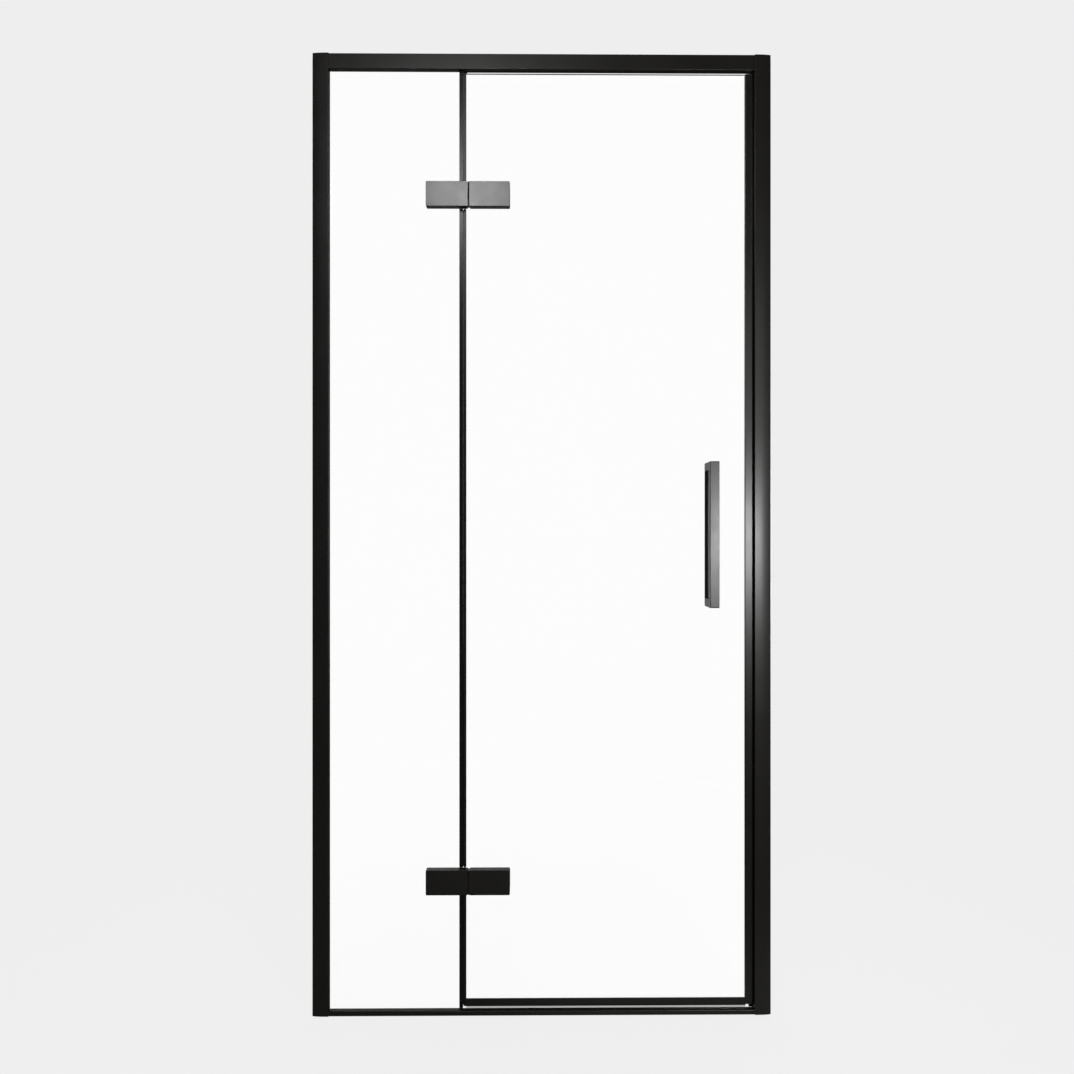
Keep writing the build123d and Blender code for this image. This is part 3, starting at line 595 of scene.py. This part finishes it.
def inset(outline: Sequence[tuple[float, float]], wall: float) -> list[tuple[float, float]]:
    """Move every side of a closed outline inwards by the thickness of a wall.

    Args:
        outline: The corners as Y and Z, counter-clockwise seen from +X, in metres.
        wall: The wall's thickness.

    Returns:
        The corners of the hollow.
    """
    sides = []
    for (y, z), (next_y, next_z) in zip(outline, [*outline[1:], outline[0]]):
        length = math.hypot(next_y - y, next_z - z)
        across, up = (z - next_z) / length, (next_y - y) / length
        sides.append((across, up, across * y + up * z + wall))
    hollow = []
    for (a, b, e), (c, d, f) in zip([sides[-1], *sides[:-1]], sides):
        scale = a * d - b * c
        hollow.append(((e * d - b * f) / scale, (a * f - e * c) / scale))
    return hollow


def tube(
    name: str, stations: Sequence[tuple[float, Sequence[tuple[float, float]]]], wall: float
) -> bpy.types.Object:
    """Build a hollow profile along the X axis.

    Args:
        name: The object's name.
        stations: Places along X from left to right, each with its outline as Y and Z.
        wall: The wall's thickness.

    Returns:
        The object.
    """
    mesh = bmesh.new()
    inner = [(x, inset(outline, wall)) for x, outline in reversed(stations)]
    loops = [
        [mesh.verts.new((x, y, z)) for y, z in corners] for x, corners in [*stations, *inner]
    ]
    count = len(loops[0])
    for first, second in zip(loops, loops[1:] + loops[:1]):
        for i in range(count):
            j = (i + 1) % count
            mesh.faces.new((first[i], first[j], second[j], second[i]))
    return as_object(name, mesh)


def extrusion(
    name: str, outline: Sequence[tuple[float, float]], start: float, end: float
) -> bpy.types.Object:
    """Build a solid profile along the X axis.

    Args:
        name: The object's name.
        outline: The corners as Y and Z, in metres.
        start: Where its left end is along X.
        end: Where its right end is.

    Returns:
        The object.
    """
    mesh = bmesh.new()
    left, right = ([mesh.verts.new((x, y, z)) for y, z in outline] for x in (start, end))
    count = len(outline)
    for i in range(count):
        j = (i + 1) % count
        mesh.faces.new((left[i], left[j], right[j], right[i]))
    caps = [mesh.faces.new(left), mesh.faces.new(right)]
    bmesh.ops.triangulate(mesh, faces=caps)
    return as_object(name, mesh)


class HardwarePlacer:
    """A Geometry Nodes tree that sets one turned piece on many places and turns each a little."""

    def __init__(self) -> None:
        """Build the tree with its named inputs."""
        tree = bpy.data.node_groups.new("hardware_placer", "GeometryNodeTree")
        sockets = (
            ("Places", "INPUT", "NodeSocketGeometry"),
            ("Piece", "INPUT", "NodeSocketObject"),
            ("Turn step", "INPUT", "NodeSocketFloat"),
            ("Finish", "INPUT", "NodeSocketMaterial"),
            ("Pieces", "OUTPUT", "NodeSocketGeometry"),
        )
        for name, way, kind in sockets:
            tree.interface.new_socket(name, in_out=way, socket_type=kind)
        given = add(tree, "NodeGroupInput")
        piece = add(tree, "GeometryNodeObjectInfo", {"Object": given.outputs["Piece"]})
        index = add(tree, "GeometryNodeInputIndex")
        angle = add(
            tree,
            "ShaderNodeMath",
            {0: index.outputs[0], 1: given.outputs["Turn step"]},
            operation="MULTIPLY",
        )
        euler = add(tree, "ShaderNodeCombineXYZ", {"Y": angle.outputs[0]})
        turn = add(tree, "FunctionNodeEulerToRotation", {0: euler.outputs[0]})
        placed = add(
            tree,
            "GeometryNodeInstanceOnPoints",
            {
                "Points": given.outputs["Places"],
                "Instance": piece.outputs["Geometry"],
                "Rotation": turn.outputs[0],
            },
        )
        real = add(tree, "GeometryNodeRealizeInstances", {0: placed.outputs[0]})
        finished = add(
            tree,
            "GeometryNodeSetMaterial",
            {"Geometry": real.outputs[0], "Material": given.outputs["Finish"]},
        )
        add(tree, "NodeGroupOutput", {0: finished.outputs[0]})
        self.tree = tree
        self.identifiers = {
            item.name: item.identifier
            for item in tree.interface.items_tree
            if item.item_type == "SOCKET" and item.in_out == "INPUT"
        }

    def place(
        self,
        name: str,
        piece: bpy.types.Object,
        places: Sequence[Vector],
        finish: bpy.types.Material,
        turn_step: float = 0.0,
    ) -> bpy.types.Object:
        """Set copies of a piece and turn the result into one plain mesh.

        Args:
            name: Name of the finished object.
            piece: The turned piece, at the origin.
            places: Where the copies stand, in the row frame.
            finish: The material of the copies.
            turn_step: Turn of each copy about its axis after the one before, in radians.

        Returns:
            The finished object, at the origin.
        """
        points = bpy.data.meshes.new(name + "_places")
        points.from_pydata([tuple(p) for p in places], [], [])
        holder = bpy.data.objects.new(name + "_holder", points)
        bpy.context.scene.collection.objects.link(holder)
        modifier = holder.modifiers.new("placer", "NODES")
        modifier.node_group = self.tree
        modifier[self.identifiers["Piece"]] = piece
        modifier[self.identifiers["Turn step"]] = turn_step
        modifier[self.identifiers["Finish"]] = finish
        graph = bpy.context.evaluated_depsgraph_get()
        graph.update()
        mesh = bpy.data.meshes.new_from_object(holder.evaluated_get(graph), depsgraph=graph)
        mesh.name = name
        mesh.shade_smooth()
        mesh.set_sharp_from_angle(angle=SHARP_ANGLE)
        made = bpy.data.objects.new(name, mesh)
        bpy.context.scene.collection.objects.link(made)
        bpy.data.objects.remove(holder)
        return made


def settle(
    piece: bpy.types.Object, body: str, nodes: Sequence[str]
) -> bpy.types.Object:
    """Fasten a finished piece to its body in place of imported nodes.

    Args:
        piece: The finished piece.
        body: The body that carries it.
        nodes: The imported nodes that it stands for.

    Returns:
        The piece.
    """
    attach(piece, body)
    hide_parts(*nodes)
    log.info("%s on %s: %d faces", piece.name, body, len(piece.data.polygons))
    return piece


@dataclass
class WallFrame:
    """Jambs, header and sill with the hidden channels, keys and fixings between them."""

    cap_radius: float = 5.0 * MM
    cap_height: float = 3.4 * MM
    cap_bore: float = 3.7 * MM
    cap_bore_depth: float = 1.85 * MM
    dome_steps: int = 6
    dome_fullness: float = 0.7
    dome_rim: float = 0.35
    dome_crown: float = 0.12
    filler_wall: float = 1.2 * MM
    filler_lip: float = 1.2 * MM
    filler_slope: float = 0.62
    filler_stop: float = 7.5 * MM
    filler_edge: float = 0.3 * MM
    filler_stop_ramp: float = 0.5 * MM

    def dress(self, wardrobe: Wardrobe) -> None:
        """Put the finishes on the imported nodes.

        Args:
            wardrobe: The built materials.
        """
        profiles = [f"jamb_{side}" for side in SIDES] + ["header", "sill", "strike_profile"]
        wardrobe.dress(profiles, POWDER_COAT)
        hidden = [f"{kind}_{side}" for kind in ("wall_channel", "corner_key") for side in SIDES]
        wardrobe.dress(hidden, MILL_ALUMINIUM)
        screws = ["frame_corner_screws"] + [f"jamb_screws_{side}" for side in SIDES]
        wardrobe.dress(screws, STAINLESS)
        wardrobe.dress([f"jamb_cap_{side}" for side in SIDES], MOULDED_ABS)
        wardrobe.dress(["strike_magnet"], MAGNET)

    def domed_caps(self, wardrobe: Wardrobe, placer: HardwarePlacer) -> None:
        """Set domed caps over the screws on the rear of the jambs.

        Args:
            wardrobe: The built materials.
            placer: The tree that sets copies.
        """
        rise = 1 - self.dome_rim
        angles = [math.pi / 2 * i / self.dome_steps for i in range(self.dome_steps)]
        dome = [
            Ring(
                self.cap_radius * math.cos(angle) ** self.dome_fullness,
                self.cap_height * (self.dome_rim + rise * math.sin(angle)),
            )
            for angle in angles
        ]
        rings = [
            Ring(self.cap_bore, self.cap_bore_depth),
            Ring(self.cap_bore, 0.0),
            Ring(self.cap_radius, 0.0),
            *dome,
            Ring(self.cap_radius * self.dome_crown, self.cap_height),
        ]
        piece = turned_piece("domed_cap", rings)
        for side in SIDES:
            node = f"jamb_screw_caps_{side}"
            low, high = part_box(node)
            middle = (low + high) / 2
            heights = (low.z + self.cap_radius, middle.z, high.z - self.cap_radius)
            places = [Vector((middle.x, low.y, height)) for height in heights]
            caps = placer.place(f"domed_caps_{side}", piece, places, wardrobe.of(MOULDED_ABS))
            settle(caps, "frame", [node])
        bpy.data.objects.remove(piece)

    def slot_filler(self, wardrobe: Wardrobe) -> None:
        """Close the header's slot above the door with a profile whose underside rises to the rear.

        Args:
            wardrobe: The built materials.
        """
        node = "header_door_seal"
        low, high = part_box(node)
        lip = low.y + self.filler_lip
        stop_end = low.x + self.filler_stop
        front = [(low.y, high.z), (low.y, low.z), (lip, low.z)]
        level, raised = (
            [*front, (high.y, low.z + rise), (high.y, high.z)]
            for rise in (self.filler_edge, (high.y - lip) * self.filler_slope)
        )
        stations = [
            (low.x, level),
            (stop_end, level),
            (stop_end + self.filler_stop_ramp, raised),
            (high.x, raised),
        ]
        filler = tube("slot_filler", stations, self.filler_wall)
        filler.data.materials.append(wardrobe.of(RUBBER))
        settle(filler, "frame", [node])


@dataclass
class FixedLight:
    """The fixed glass with its gaskets and the slim profile on its free edge."""

    spans: tuple[str, ...] = SPANS

    def dress(self, wardrobe: Wardrobe) -> None:
        """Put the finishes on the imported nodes.

        Args:
            wardrobe: The built materials.
        """
        wardrobe.dress(["fixed_glass"], TOUGHENED_GLASS)
        wardrobe.dress([f"{rail}_glazing_gasket" for rail in ("jamb", "header", "sill")], RUBBER)
        wardrobe.dress([f"fixed_edge_profile_{span}" for span in self.spans], ANODISED)


@dataclass
class DoorLeaf:
    """The swinging glass with its edge seal, closing profile, bottom profile and magnet."""

    spans: tuple[str, ...] = SPANS
    blade_set_back: float = 1.2 * MM
    blade_thickness: float = 0.8 * MM
    blade_tip: float = 0.5 * MM
    blade_clearance: float = 0.2 * MM
    foot_clearance: float = 0.05 * MM

    def dress(self, wardrobe: Wardrobe) -> None:
        """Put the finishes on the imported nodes.

        Args:
            wardrobe: The built materials.
        """
        wardrobe.dress(["door_glass"], TOUGHENED_GLASS)
        wardrobe.dress(["door_closing_profile", "door_bottom_profile"], POWDER_COAT)
        wardrobe.dress([f"door_edge_seal_{span}" for span in self.spans], EDGE_SEAL_PVC)
        wardrobe.dress(["door_magnet"], MAGNET)

    def sweep_blade(self, wardrobe: Wardrobe) -> None:
        """Hang the translucent sweep from the bottom profile's groove to just above the sill.

        Args:
            wardrobe: The built materials.
        """
        node = "door_bottom_sweep"
        low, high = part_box(node)
        profile_low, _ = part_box("door_bottom_profile")
        _, sill_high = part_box("sill")
        front = profile_low.y + self.blade_set_back
        tip = sill_high.z + self.blade_clearance
        top = profile_low.z - self.foot_clearance
        under = top - self.blade_thickness
        outline = [
            (front, tip),
            (front + self.blade_tip, tip),
            (front + self.blade_thickness, under),
            (-low.y, under),
            (-low.y, high.z),
            (low.y, high.z),
            (low.y, top),
            (front, top),
        ]
        blade = extrusion("sweep_blade", outline, low.x, high.x)
        blade.data.materials.append(wardrobe.of(SMOKED_PVC))
        settle(blade, "door", [node])


@dataclass
class BlockHinges:
    """Two block hinges, each with a fixed and a moving leaf clamped through the glass."""

    prefixes: tuple[str, ...] = ("top_hinge", "bottom_hinge")
    shank_radius: float = 3.0 * MM
    head_radius: float = 5.5 * MM
    head_height: float = 2.5 * MM
    edge: float = 0.25 * MM
    tip_chamfer: float = 0.8 * MM
    socket_radius: float = 2.0 * MM
    socket_depth: float = 2.2 * MM
    socket_turn: float = 0.37
    leaf_bodies: tuple[tuple[str, str], ...] = (("fixed", "frame"), ("moving", "door"))

    def dress(self, wardrobe: Wardrobe) -> None:
        """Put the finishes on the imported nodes.

        Args:
            wardrobe: The built materials.
        """
        leaves = [f"{prefix}_{leaf}" for prefix in self.prefixes for leaf, _ in self.leaf_bodies]
        wardrobe.dress([f"{leaf}_block" for leaf in leaves], HINGE_LACQUER)
        wardrobe.dress([f"{leaf}_back_plate" for leaf in leaves], HINGE_LACQUER)
        wardrobe.dress([f"{leaf}_gaskets" for leaf in leaves], RUBBER)
        wardrobe.dress([f"{prefix}_pin" for prefix in self.prefixes], STAINLESS)

    def clamp_screws(self, wardrobe: Wardrobe, placer: HardwarePlacer) -> None:
        """Set countersunk socket screws in the rear plates.

        Args:
            wardrobe: The built materials.
            placer: The tree that sets copies.
        """
        low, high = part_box("top_hinge_fixed_screws")
        length = high.y - low.y
        rings = [
            Ring(self.shank_radius - self.tip_chamfer, -length),
            Ring(self.shank_radius, self.tip_chamfer - length),
            Ring(self.shank_radius, -self.head_height),
            Ring(self.head_radius, -self.edge),
            Ring(self.head_radius - self.edge, 0.0),
            Ring(self.socket_radius + self.edge, 0.0, hexagonal=True),
            Ring(self.socket_radius, -self.edge, hexagonal=True),
            Ring(self.socket_radius, -self.socket_depth, hexagonal=True),
        ]
        piece = turned_piece("socket_screw", rings)
        for leaf, body in self.leaf_bodies:
            nodes = [f"{prefix}_{leaf}_screws" for prefix in self.prefixes]
            places = []
            for node in nodes:
                low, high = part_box(node)
                x = (low.x + high.x) / 2
                for z in (low.z + self.head_radius, high.z - self.head_radius):
                    places.append(Vector((x, high.y, z)))
            steel = wardrobe.of(STAINLESS)
            screws = placer.place(f"{leaf}_clamp_screws", piece, places, steel, self.socket_turn)
            settle(screws, body, nodes)
        bpy.data.objects.remove(piece)


@dataclass
class BarHandle:
    """The loop handle, its plate, and its turned caps inside the shower."""

    cap_radius: float = 7.0 * MM
    cap_height: float = 5.5 * MM
    cap_bore: float = 4.6 * MM
    cap_bore_depth: float = 3.05 * MM
    edge: float = 0.5 * MM
    shoulder: float = 0.3 * MM
    dish: float = 1.0 * MM
    groove_height: float = 1.6 * MM
    groove_depth: float = 0.35 * MM
    groove_slope: float = 0.25 * MM
    segments: int = 48

    def dress(self, wardrobe: Wardrobe) -> None:
        """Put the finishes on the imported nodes.

        Args:
            wardrobe: The built materials.
        """
        wardrobe.dress(["handle_grip", "handle_backplate"], HANDLE_BLACK)
        wardrobe.dress(["handle_screws"], STAINLESS)
        wardrobe.dress(["handle_washers"], MOULDED_ABS)

    def turned_caps(self, wardrobe: Wardrobe, placer: HardwarePlacer) -> None:
        """Set the turned caps over the screw heads.

        Args:
            wardrobe: The built materials.
            placer: The tree that sets copies.
        """
        inner = self.cap_radius - self.groove_depth
        rings = [
            Ring(self.cap_bore, self.cap_bore_depth),
            Ring(self.cap_bore, 0.0),
            Ring(self.cap_radius - self.edge, 0.0),
            Ring(self.cap_radius, self.edge),
            Ring(self.cap_radius, self.groove_height),
            Ring(inner, self.groove_height + self.groove_slope),
            Ring(inner, self.groove_height + self.edge),
            Ring(self.cap_radius, self.groove_height + self.edge + self.groove_slope),
            Ring(self.cap_radius, self.cap_height - self.dish),
            Ring(self.cap_radius - self.shoulder, self.cap_height - self.shoulder),
            Ring(self.cap_radius - self.dish, self.cap_height),
        ]
        piece = turned_piece("turned_cap", rings, segments=self.segments)
        low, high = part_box("handle_caps")
        x = (low.x + high.x) / 2
        heights = (low.z + self.cap_radius, high.z - self.cap_radius)
        places = [Vector((x, low.y, z)) for z in heights]
        caps = placer.place("turned_caps", piece, places, wardrobe.of(HANDLE_BLACK))
        settle(caps, "door", ["handle_caps"])
        bpy.data.objects.remove(piece)


@dataclass(frozen=True)
class Lamp:
    """One soft studio lamp, an area light that faces a point."""

    name: str
    place: tuple[float, float, float]
    aim: tuple[float, float, float]
    width: float
    height: float
    watts: float

    def build(self, clear: bpy.types.Collection) -> bpy.types.Object:
        """Make the lamp.

        Args:
            clear: The panes that the lamp leaves alone, so that it makes no bright patch in them.

        Returns:
            The light object.
        """
        data = bpy.data.lights.new(self.name, "AREA")
        data.shape = "RECTANGLE"
        data.size = self.width
        data.size_y = self.height
        data.energy = self.watts
        lamp = bpy.data.objects.new(self.name, data)
        lamp.location = self.place
        direction = Vector(self.aim) - Vector(self.place)
        lamp.rotation_euler = direction.to_track_quat("-Z", "Y").to_euler()
        lamp.visible_camera = False
        lamp.visible_transmission = False
        lamp.light_linking.receiver_collection = clear
        bpy.context.scene.collection.objects.link(lamp)
        return lamp


@dataclass
class Studio:
    """Camera, lamps, floor and surroundings.

    Levels are strengths in linear light, where 1 is white. Places and distances are in metres.

    Attributes:
        backdrop: What the camera sees behind and below the door.
        through_glass: Level behind the panes, a little over white because glass takes some away.
        dim_side: Level that glossy pieces mirror from most of the room.
        rear_glow: Level that they mirror from rear_direction, within the cosines of rear_edge.
        ambient: Level that lights the floor and the pieces from all round.
        floor_share: Part of the floor's brightness that is lit, and so carries the shadow.
        floor_lift: How much the rest rises near the door, to keep the floor's level even.
        floor_painted_light_pool: Painted pool of light: the level that the floor shows in a mirror
            close to the door on the right, standing in for lamp light lying on the floor there.
    """

    image_px: float = 1074.0
    focal_px: float = 778.4
    horizon_px: float = 534.65
    sensor_mm: float = 36.0
    camera_place: tuple[float, float, float] = (-0.021, -1.553, 0.950)
    camera_yaw_deg: float = 0.41
    near_limit: float = 0.01
    backdrop: str = "#EEEEEE"
    through_glass: float = 1.07
    dim_side: float = 0.05
    rear_glow: float = 0.66
    rear_direction: tuple[float, float, float] = (-0.253, 0.945, 0.208)
    rear_edge: tuple[float, float] = (0.80, 0.975)
    ambient: float = 0.6
    floor_half_size: float = 7.0
    floor_share: float = 0.1
    floor_lift: float = 0.4
    # Painted pool of light: a brighter mirrored floor level at the door's right, standing in for
    # lamp light lying there; it lightens the reflections in the lower pieces
    floor_painted_light_pool: float = 0.21
    floor_painted_light_pool_side: tuple[float, float] = (-0.25, 0.2)
    floor_painted_light_pool_fade: tuple[float, float] = (0.05, 0.45)
    floor_fade: tuple[float, float] = (0.3, 1.6)
    horizon_fade: tuple[float, float] = (3.5, 7.0)
    lamps: tuple[Lamp, ...] = (
        Lamp("side_lamp", (0.80, -1.56, 0.93), (0.40, 0.0, 0.95), 0.20, 0.15, 11.8),
        Lamp("upper_lamp", (-0.27, -1.56, 2.29), (-0.14, 0.0, 1.6), 0.15, 0.15, 7.4),
        Lamp("fill_lamp", (0.86, -1.56, 1.64), (0.43, 0.0, 1.3), 0.50, 0.50, 1.15),
        Lamp("rear_lamp", (1.60, 2.30, 2.10), (0.0, 0.0, 1.0), 1.20, 1.20, 5.0),
        Lamp("left_lamp", (-2.60, 0.80, 1.90), (0.0, 0.0, 1.0), 0.80, 1.20, 4.0),
    )

    def build(self) -> None:
        """Make the whole studio."""
        self.camera()
        self.surroundings()
        self.floor()
        clear = bpy.data.collections.new("panes_without_lamps")
        for pane in ("fixed_glass", "door_glass"):
            clear.objects.link(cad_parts[pane])
        for member in clear.collection_objects:
            member.light_linking.link_state = "EXCLUDE"
        for lamp in self.lamps:
            lamp.build(clear)
        bpy.context.scene.view_settings.view_transform = "Standard"
        log.info("studio: %d lamps", len(self.lamps))

    def camera(self) -> None:
        """Set the camera where the photograph was taken from."""
        data = bpy.data.cameras.new("camera")
        data.sensor_width = self.sensor_mm
        data.lens = self.sensor_mm * self.focal_px / self.image_px
        data.shift_y = (self.horizon_px - self.image_px / 2) / self.image_px
        data.clip_start = self.near_limit
        eye = bpy.data.objects.new("camera", data)
        eye.location = self.camera_place
        eye.rotation_euler = (math.pi / 2, 0.0, -math.radians(self.camera_yaw_deg))
        bpy.context.scene.collection.objects.link(eye)
        bpy.context.scene.camera = eye

    def glow(
        self, tree: bpy.types.NodeTree, direction: bpy.types.NodeSocket
    ) -> bpy.types.NodeSocket:
        """Add the nodes that say how bright the surroundings are in a mirror.

        Args:
            tree: The node tree of the world or the floor.
            direction: Which way from the door, with a length of 1.

        Returns:
            The level, which is dim all round and rises behind the door.
        """
        toward = add(
            tree,
            "ShaderNodeVectorMath",
            {0: direction, 1: self.rear_direction},
            operation="DOT_PRODUCT",
        )
        level = add(
            tree,
            "ShaderNodeMapRange",
            {
                "Value": toward.outputs["Value"],
                "From Min": self.rear_edge[0],
                "From Max": self.rear_edge[1],
                "To Min": self.dim_side,
                "To Max": self.rear_glow,
            },
            interpolation_type="SMOOTHSTEP",
        )
        return level.outputs[0]

    def surroundings(self) -> None:
        """Give the world the backdrop's colour, and a dimmer room in front of the door."""
        world = bpy.data.worlds.new("studio")
        bpy.context.scene.world = world
        world.use_nodes = True
        tree = world.node_tree
        tree.nodes.clear()
        path = add(tree, "ShaderNodeLightPath")
        mirrored = self.glow(tree, add(tree, "ShaderNodeTexCoord").outputs["Generated"])
        level = self.by_ray(
            tree,
            path,
            self.ambient,
            (
                ("Is Glossy Ray", mirrored),
                ("Is Transmission Ray", self.through_glass),
                ("Glossy Depth", mirrored),
                ("Is Camera Ray", linear(self.backdrop)[0]),
            ),
        )
        light = add(
            tree, "ShaderNodeBackground", {"Color": linear("#FFFFFF"), "Strength": level}
        )
        add(tree, "ShaderNodeOutputWorld", {"Surface": light.outputs[0]})

    def by_ray(
        self,
        tree: bpy.types.NodeTree,
        path: bpy.types.Node,
        level: float | bpy.types.NodeSocket,
        choices: Sequence[tuple[str, float | bpy.types.NodeSocket]],
    ) -> bpy.types.NodeSocket:
        """Add the nodes that choose a level by the kind of ray that looks.

        Args:
            tree: The node tree of the world or the floor.
            path: The tree's Light Path node.
            level: The level for every other ray.
            choices: Outputs of Light Path, each with its level. A later one wins.

        Returns:
            The chosen level.
        """
        for ray, value in choices:
            level = add(
                tree,
                "ShaderNodeMix",
                {"Factor": path.outputs[ray], LEVEL_A: level, LEVEL_B: value},
                data_type="FLOAT",
            ).outputs[0]
        return level

    def floor(self) -> None:
        """Lay the floor, which matches the backdrop and keeps the door's shadow."""
        half = self.floor_half_size
        mesh = bpy.data.meshes.new("floor")
        corners = [(-half, -half, 0.0), (half, -half, 0.0), (half, half, 0.0), (-half, half, 0.0)]
        mesh.from_pydata(corners, [], [(0, 1, 2, 3)])
        mesh.materials.append(self.floor_paint())
        ground = bpy.data.objects.new("floor", mesh)
        bpy.context.scene.collection.objects.link(ground)

    def floor_mirror(
        self,
        tree: bpy.types.NodeTree,
        place: bpy.types.NodeSocket,
        distance: bpy.types.NodeSocket,
    ) -> bpy.types.NodeSocket:
        """Add the nodes that say how bright the floor is in a mirror.

        Args:
            tree: The floor's node tree.
            place: The position on the floor.
            distance: How far that is from the middle of the door.

        Returns:
            The level: a painted pool of light along the door's right half, which stands in for lamp
                light lying on the floor and shows only in reflections, dim beyond it, and far out
                the glow of the surroundings, so that no hard horizon shows in the glass.
        """
        across = add(tree, "ShaderNodeSeparateXYZ", {0: place})
        away = add(tree, "ShaderNodeMath", {0: across.outputs["Y"]}, operation="ABSOLUTE")
        direction = add(tree, "ShaderNodeVectorMath", {0: place}, operation="NORMALIZE")
        level: float | bpy.types.NodeSocket = self.dim_side
        # The first step paints a pool of light into the floor's mirrored level along the door's
        # right half, standing in for lamp light lying on the floor
        for measure, (start, end), goal in (
            (across.outputs["X"], self.floor_painted_light_pool_side, self.floor_painted_light_pool),
            (away.outputs[0], self.floor_painted_light_pool_fade, self.dim_side),
            (distance, self.horizon_fade, self.glow(tree, direction.outputs[0])),
        ):
            level = add(
                tree,
                "ShaderNodeMapRange",
                {
                    "Value": measure,
                    "From Min": start,
                    "From Max": end,
                    "To Min": level,
                    "To Max": goal,
                },
                interpolation_type="SMOOTHSTEP",
            ).outputs[0]
        return level

    def floor_paint(self) -> bpy.types.Material:
        """Build the floor's material.

        Returns:
            A mix of the backdrop's own light and a lit matt paint, which fades out with distance.
        """
        made = blank_material("floor_paint")
        tree = made.node_tree
        path = add(tree, "ShaderNodeLightPath")
        place = add(tree, "ShaderNodeTexCoord").outputs["Object"]
        length = add(tree, "ShaderNodeVectorMath", {0: place}, operation="LENGTH")
        distance = length.outputs["Value"]
        mirrored = self.floor_mirror(tree, place, distance)
        seen = self.by_ray(
            tree,
            path,
            linear(self.backdrop)[0],
            (
                ("Is Glossy Ray", mirrored),
                ("Is Transmission Ray", self.through_glass),
                ("Glossy Depth", mirrored),
            ),
        )
        near, far = self.floor_fade
        share = add(
            tree,
            "ShaderNodeMapRange",
            {
                "Value": distance,
                "From Min": near,
                "From Max": far,
                "To Min": self.floor_share,
                "To Max": 0.0,
            },
            interpolation_type="SMOOTHSTEP",
        )
        lift = add(
            tree,
            "ShaderNodeMath",
            {0: share.outputs[0], 1: self.floor_lift, 2: 1.0},
            operation="MULTIPLY_ADD",
        )
        lifted = add(tree, "ShaderNodeMath", {0: seen, 1: lift.outputs[0]}, operation="MULTIPLY")
        flat = add(tree, "ShaderNodeEmission", {"Strength": lifted.outputs[0]})
        lit = add(tree, "ShaderNodeBsdfDiffuse", {"Color": linear(self.backdrop)})
        looks = path.outputs["Is Camera Ray"]
        for ray in ("Is Transmission Ray", "Is Glossy Ray"):
            either = {0: looks, 1: path.outputs[ray]}
            looks = add(tree, "ShaderNodeMath", either, operation="MAXIMUM").outputs[0]
        own = add(tree, "ShaderNodeMath", {0: 1.0, 1: share.outputs[0]}, operation="SUBTRACT")
        factor = add(
            tree, "ShaderNodeMath", {0: looks, 1: own.outputs[0]}, operation="MULTIPLY"
        )
        surface = add(
            tree,
            "ShaderNodeMixShader",
            {0: factor.outputs[0], 1: lit.outputs[0], 2: flat.outputs[0]},
        )
        add(tree, "ShaderNodeOutputMaterial", {"Surface": surface.outputs[0]})
        return made


def main() -> None:
    """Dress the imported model, add its turned hardware and light it."""
    logging.basicConfig(level=logging.INFO, format="%(name)s %(message)s")
    Studio().build()
    wardrobe = Wardrobe()
    placer = HardwarePlacer()
    wall_frame = WallFrame()
    wall_frame.dress(wardrobe)
    wall_frame.domed_caps(wardrobe, placer)
    wall_frame.slot_filler(wardrobe)
    FixedLight().dress(wardrobe)
    leaf = DoorLeaf()
    leaf.dress(wardrobe)
    leaf.sweep_blade(wardrobe)
    hinges = BlockHinges()
    hinges.dress(wardrobe)
    hinges.clamp_screws(wardrobe, placer)
    handle = BarHandle()
    handle.dress(wardrobe)
    handle.turned_caps(wardrobe, placer)


if __name__ == "__main__":
    main()
